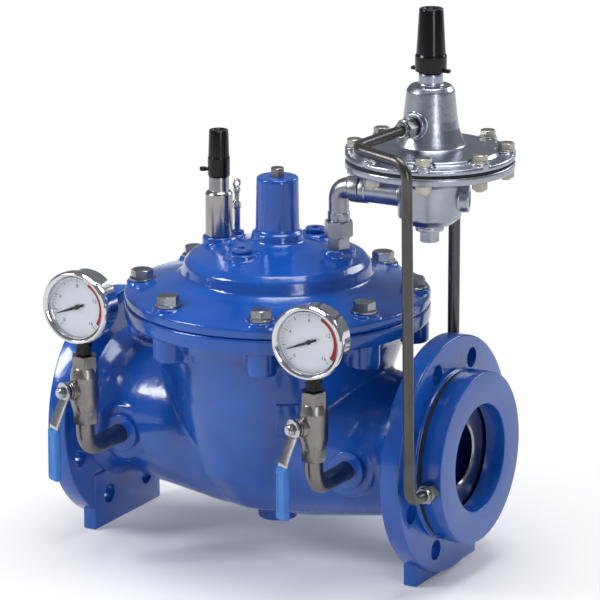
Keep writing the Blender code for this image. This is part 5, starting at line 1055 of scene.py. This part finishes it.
TICK_COUNT = 40
TICK_CIRCLE = 0.0262
FIGURE_CIRCLE = 0.0198
FULL_SCALE = 16
marks = []
for tick in range(TICK_COUNT + 1):
    angle = SCALE_START - SCALE_SWEEP * tick / TICK_COUNT
    long_tick = tick % 5 == 0
    length = 0.0032 if long_tick else 0.0016
    width = 0.00055 if long_tick else 0.00030
    tick_size = (length, width, 0.00008)
    tick_centre = (TICK_CIRCLE - length / 2, 0, PRINT_LEVEL)
    marks.append(slab("tick", tick_size, tick_centre, 0.00002, about_z(angle)))
for value in range(0, FULL_SCALE + 1, 4):
    angle = SCALE_START - SCALE_SWEEP * value / FULL_SCALE
    bpy.ops.object.select_all(action="DESELECT")
    bpy.ops.object.text_add(location=(0, 0, 0))
    figure = bpy.context.object
    figure.data.body = str(value)
    figure.data.size = 0.0048
    figure.data.align_x = "CENTER"
    figure.data.align_y = "CENTER"
    figure.data.extrude = 0.00003
    bpy.ops.object.convert(target="MESH")
    figure_place = at(FIGURE_CIRCLE * cos(angle), FIGURE_CIRCLE * sin(angle), PRINT_LEVEL)
    marks.append(settle(bpy.context.object, figure_place))
scale_print = joined(marks, "scale")
settle(scale_print, AT_DIAL)
both_sets(scale_print, "dial_scale", print_black, "", turns=TURNS)
ARC_START = radians(62)
ARC_END = radians(-34)
ARC_INSIDE = 0.0236
ARC_OUTSIDE = 0.0278
arc_edge = [
    (radius * cos(ARC_END), radius * sin(ARC_END), PRINT_LEVEL)
    for radius in (ARC_INSIDE, ARC_OUTSIDE)
]
red_arc = drawn("red_arc", arc_edge)
bpy.ops.mesh.spin(steps=40, angle=ARC_END - ARC_START, center=(0, 0, 0), axis=(0, 0, 1))
bpy.ops.object.mode_set(mode="OBJECT")
thicken = red_arc.modifiers.new("thicken", "SOLIDIFY")
thicken.thickness = 0.00006
apply_step(red_arc, thicken)
settle(red_arc, AT_DIAL)
both_sets(red_arc, "dial_red_arc", print_red, "", turns=TURNS)

# Pointers
# Thin black pointers with a wide tail and a round hub, which turn on the dial's axis.
# Each is a tapered blade joined to its hub, just above the print.
POINTER_ANGLE = pi + radians(21)
POINTER_LEVEL = DIAL_LEVEL + 0.0014
hub_disc = rod("hub_disc", 0.0022, DIAL_LEVEL + 0.0004, POINTER_LEVEL + 0.0008, 32, edge=0.0002)
bpy.ops.object.select_all(action="DESELECT")
TAIL_HALF = 0.008
TIP_REACH = 0.0155
tail_size = (2 * TAIL_HALF, 0.0022, 0.0006)
bpy.ops.mesh.primitive_cube_add(size=1.0, location=(0, 0, POINTER_LEVEL), scale=tail_size)
blade = bpy.context.object
bpy.ops.object.transform_apply(location=True, rotation=True, scale=True)
bpy.ops.object.mode_set(mode="EDIT")
bpy.ops.mesh.select_mode(type="FACE")
bpy.ops.mesh.select_all(action="DESELECT")
bpy.ops.object.mode_set(mode="OBJECT")
for face in blade.data.polygons:
    face.select = face.normal.x > 0.9
bpy.ops.object.mode_set(mode="EDIT")
extrude(TIP_REACH, 0, 0)
bpy.ops.transform.resize(value=(1, 0.22, 1), center_override=(TAIL_HALF + TIP_REACH, 0, POINTER_LEVEL))
bpy.ops.mesh.select_mode(type="VERT")
bpy.ops.object.mode_set(mode="OBJECT")
combine(hub_disc, [blade])
settle(hub_disc, AT_DIAL @ about_z(POINTER_ANGLE))
both_sets(hub_disc, "dial_pointer", print_black, "gauge_pointer", "{}_pointer", TURNS)

# Gauge glasses
# Clear flat glasses held under the lip of each bezel.
# Each is a thin turned disc with a rounded rim.
clear_glass = Finish("clear_glass", (0.97, 0.98, 1.0), 0.0, 0.02)
clear_glass.shader.inputs["Transmission Weight"].default_value = 1.0
clear_glass.shader.inputs["IOR"].default_value = 1.08
clear_glass.feed("Roughness", clear_glass.noise(20.0, 2.0) * 0.02)
glass = rod("glass", 0.0282, GAUGE_FRONT - 0.0045, GAUGE_FRONT - 0.0030, 96, AT_DIAL, 0.0003)
both_sets(glass, "gauge_glass_disc", clear_glass.material, "gauge_window", turns=TURNS)

# Studio
# A pale floor, soft lights and a white surround, with the camera where the photograph was taken.
# The floor turns to plain white away from the valve, so that only the shadow shows.
bpy.ops.object.select_all(action="DESELECT")
bpy.ops.mesh.primitive_plane_add(size=12.0, location=(0, 0, -0.0002))
floor = bpy.context.object
floor.name = "studio_floor"
bpy.ops.object.mode_set(mode="EDIT")
bpy.ops.mesh.subdivide(number_cuts=4)
bpy.ops.object.mode_set(mode="OBJECT")
settle(floor, floor.matrix_world.copy())
floor_paint = Finish("floor_white", (0.88, 0.88, 0.89), 0.0, 0.6)
floor_paint.shader.inputs["Specular IOR Level"].default_value = 0.1
seen = floor_paint.node("ShaderNodeLightPath", output=0)
seen_gloss = floor_paint.node("ShaderNodeLightPath", output=3)
seen_through = floor_paint.node("ShaderNodeLightPath", output=6)
far_place = floor_paint.node("ShaderNodeTexCoord", output="Object")
far = floor_paint.node("ShaderNodeVectorMath", {"operation": "LENGTH"}, {0: far_place}, output=1)
smooth = {"interpolation_type": "SMOOTHSTEP"}
fade = floor_paint.node("ShaderNodeMapRange", smooth, {0: far, 1: 0.10, 2: 0.42})
seen_any = seen + seen_gloss + seen_through
visible = floor_paint.node("ShaderNodeMath", {"operation": "MINIMUM"}, {0: seen_any, 1: 1.0})
glow = floor_paint.node("ShaderNodeEmission", {}, {"Color": (1, 1, 1, 1), "Strength": 1.0})
shaded = Signal(floor_paint, floor_paint.shader.outputs[0])
mixed = floor_paint.node("ShaderNodeMixShader", {}, {0: fade * visible, 1: shaded, 2: glow})
floor_out = floor_paint.tree.nodes["Material Output"]
floor_paint.tree.links.new(mixed.socket, floor_out.inputs["Surface"])
floor.data.materials.append(floor_paint.material)

world = bpy.data.worlds.new("studio_world")
world.use_nodes = True
bpy.context.scene.world = world
nodes = world.node_tree.nodes
links = world.node_tree.links
sky = nodes["Background"]
sky.inputs["Color"].default_value = (0.90, 0.95, 1.0, 1.0)
sky.inputs["Strength"].default_value = 0.24
white_back = nodes.new("ShaderNodeBackground")
white_back.inputs["Color"].default_value = (1, 1, 1, 1)
white_back.inputs["Strength"].default_value = 1.0
path = nodes.new("ShaderNodeLightPath")
choose = nodes.new("ShaderNodeMixShader")
links.new(path.outputs["Is Camera Ray"], choose.inputs[0])
links.new(sky.outputs[0], choose.inputs[1])
links.new(white_back.outputs[0], choose.inputs[2])
links.new(choose.outputs[0], nodes["World Output"].inputs["Surface"])


def softbox(name, place, aim, size, power, colour=(1, 1, 1)):
    """A rectangular studio light at a place, aimed at a point."""
    bpy.ops.object.select_all(action="DESELECT")
    bpy.ops.object.light_add(type="AREA", location=place)
    lamp = bpy.context.object
    lamp.name = name
    lamp.data.shape = "RECTANGLE"
    lamp.data.size, lamp.data.size_y = size
    lamp.data.energy = power
    lamp.data.color = colour
    lamp.rotation_euler = (Vector(aim) - Vector(place)).to_track_quat("-Z", "Y").to_euler()


middle = (0, 0, 0.22)
softbox("key_light", (-1.5, -1.3, 1.5), middle, (0.6, 1.0), 36)
softbox("top_light", (0.2, 0.1, 2.1), middle, (1.1, 1.1), 27, (0.94, 0.97, 1.0))
softbox("fill_light", (1.9, -1.4, 0.9), middle, (0.45, 1.2), 12, (0.96, 0.98, 1.0))
softbox("rim_light", (0.9, 1.9, 1.4), middle, (1.2, 0.8), 18)

AZIMUTH = radians(28.96)
ELEVATION = radians(15.39)
DISTANCE = 4.0905
back = Vector((sin(AZIMUTH) * cos(ELEVATION), -cos(AZIMUTH) * cos(ELEVATION), sin(ELEVATION)))
right = Vector((cos(AZIMUTH), sin(AZIMUTH), 0))
bpy.ops.object.camera_add()
camera = bpy.context.object
camera.location = axis_point + back * DISTANCE + right * 0.02079 + Vector((0, 0, 0.12129))
camera.rotation_euler = (-back).to_track_quat("-Z", "Y").to_euler()
camera.data.sensor_width = 36.0
camera.data.lens = 264.0
camera.data.clip_end = 30.0
bpy.context.scene.camera = camera
bpy.context.scene.view_settings.view_transform = "Standard"
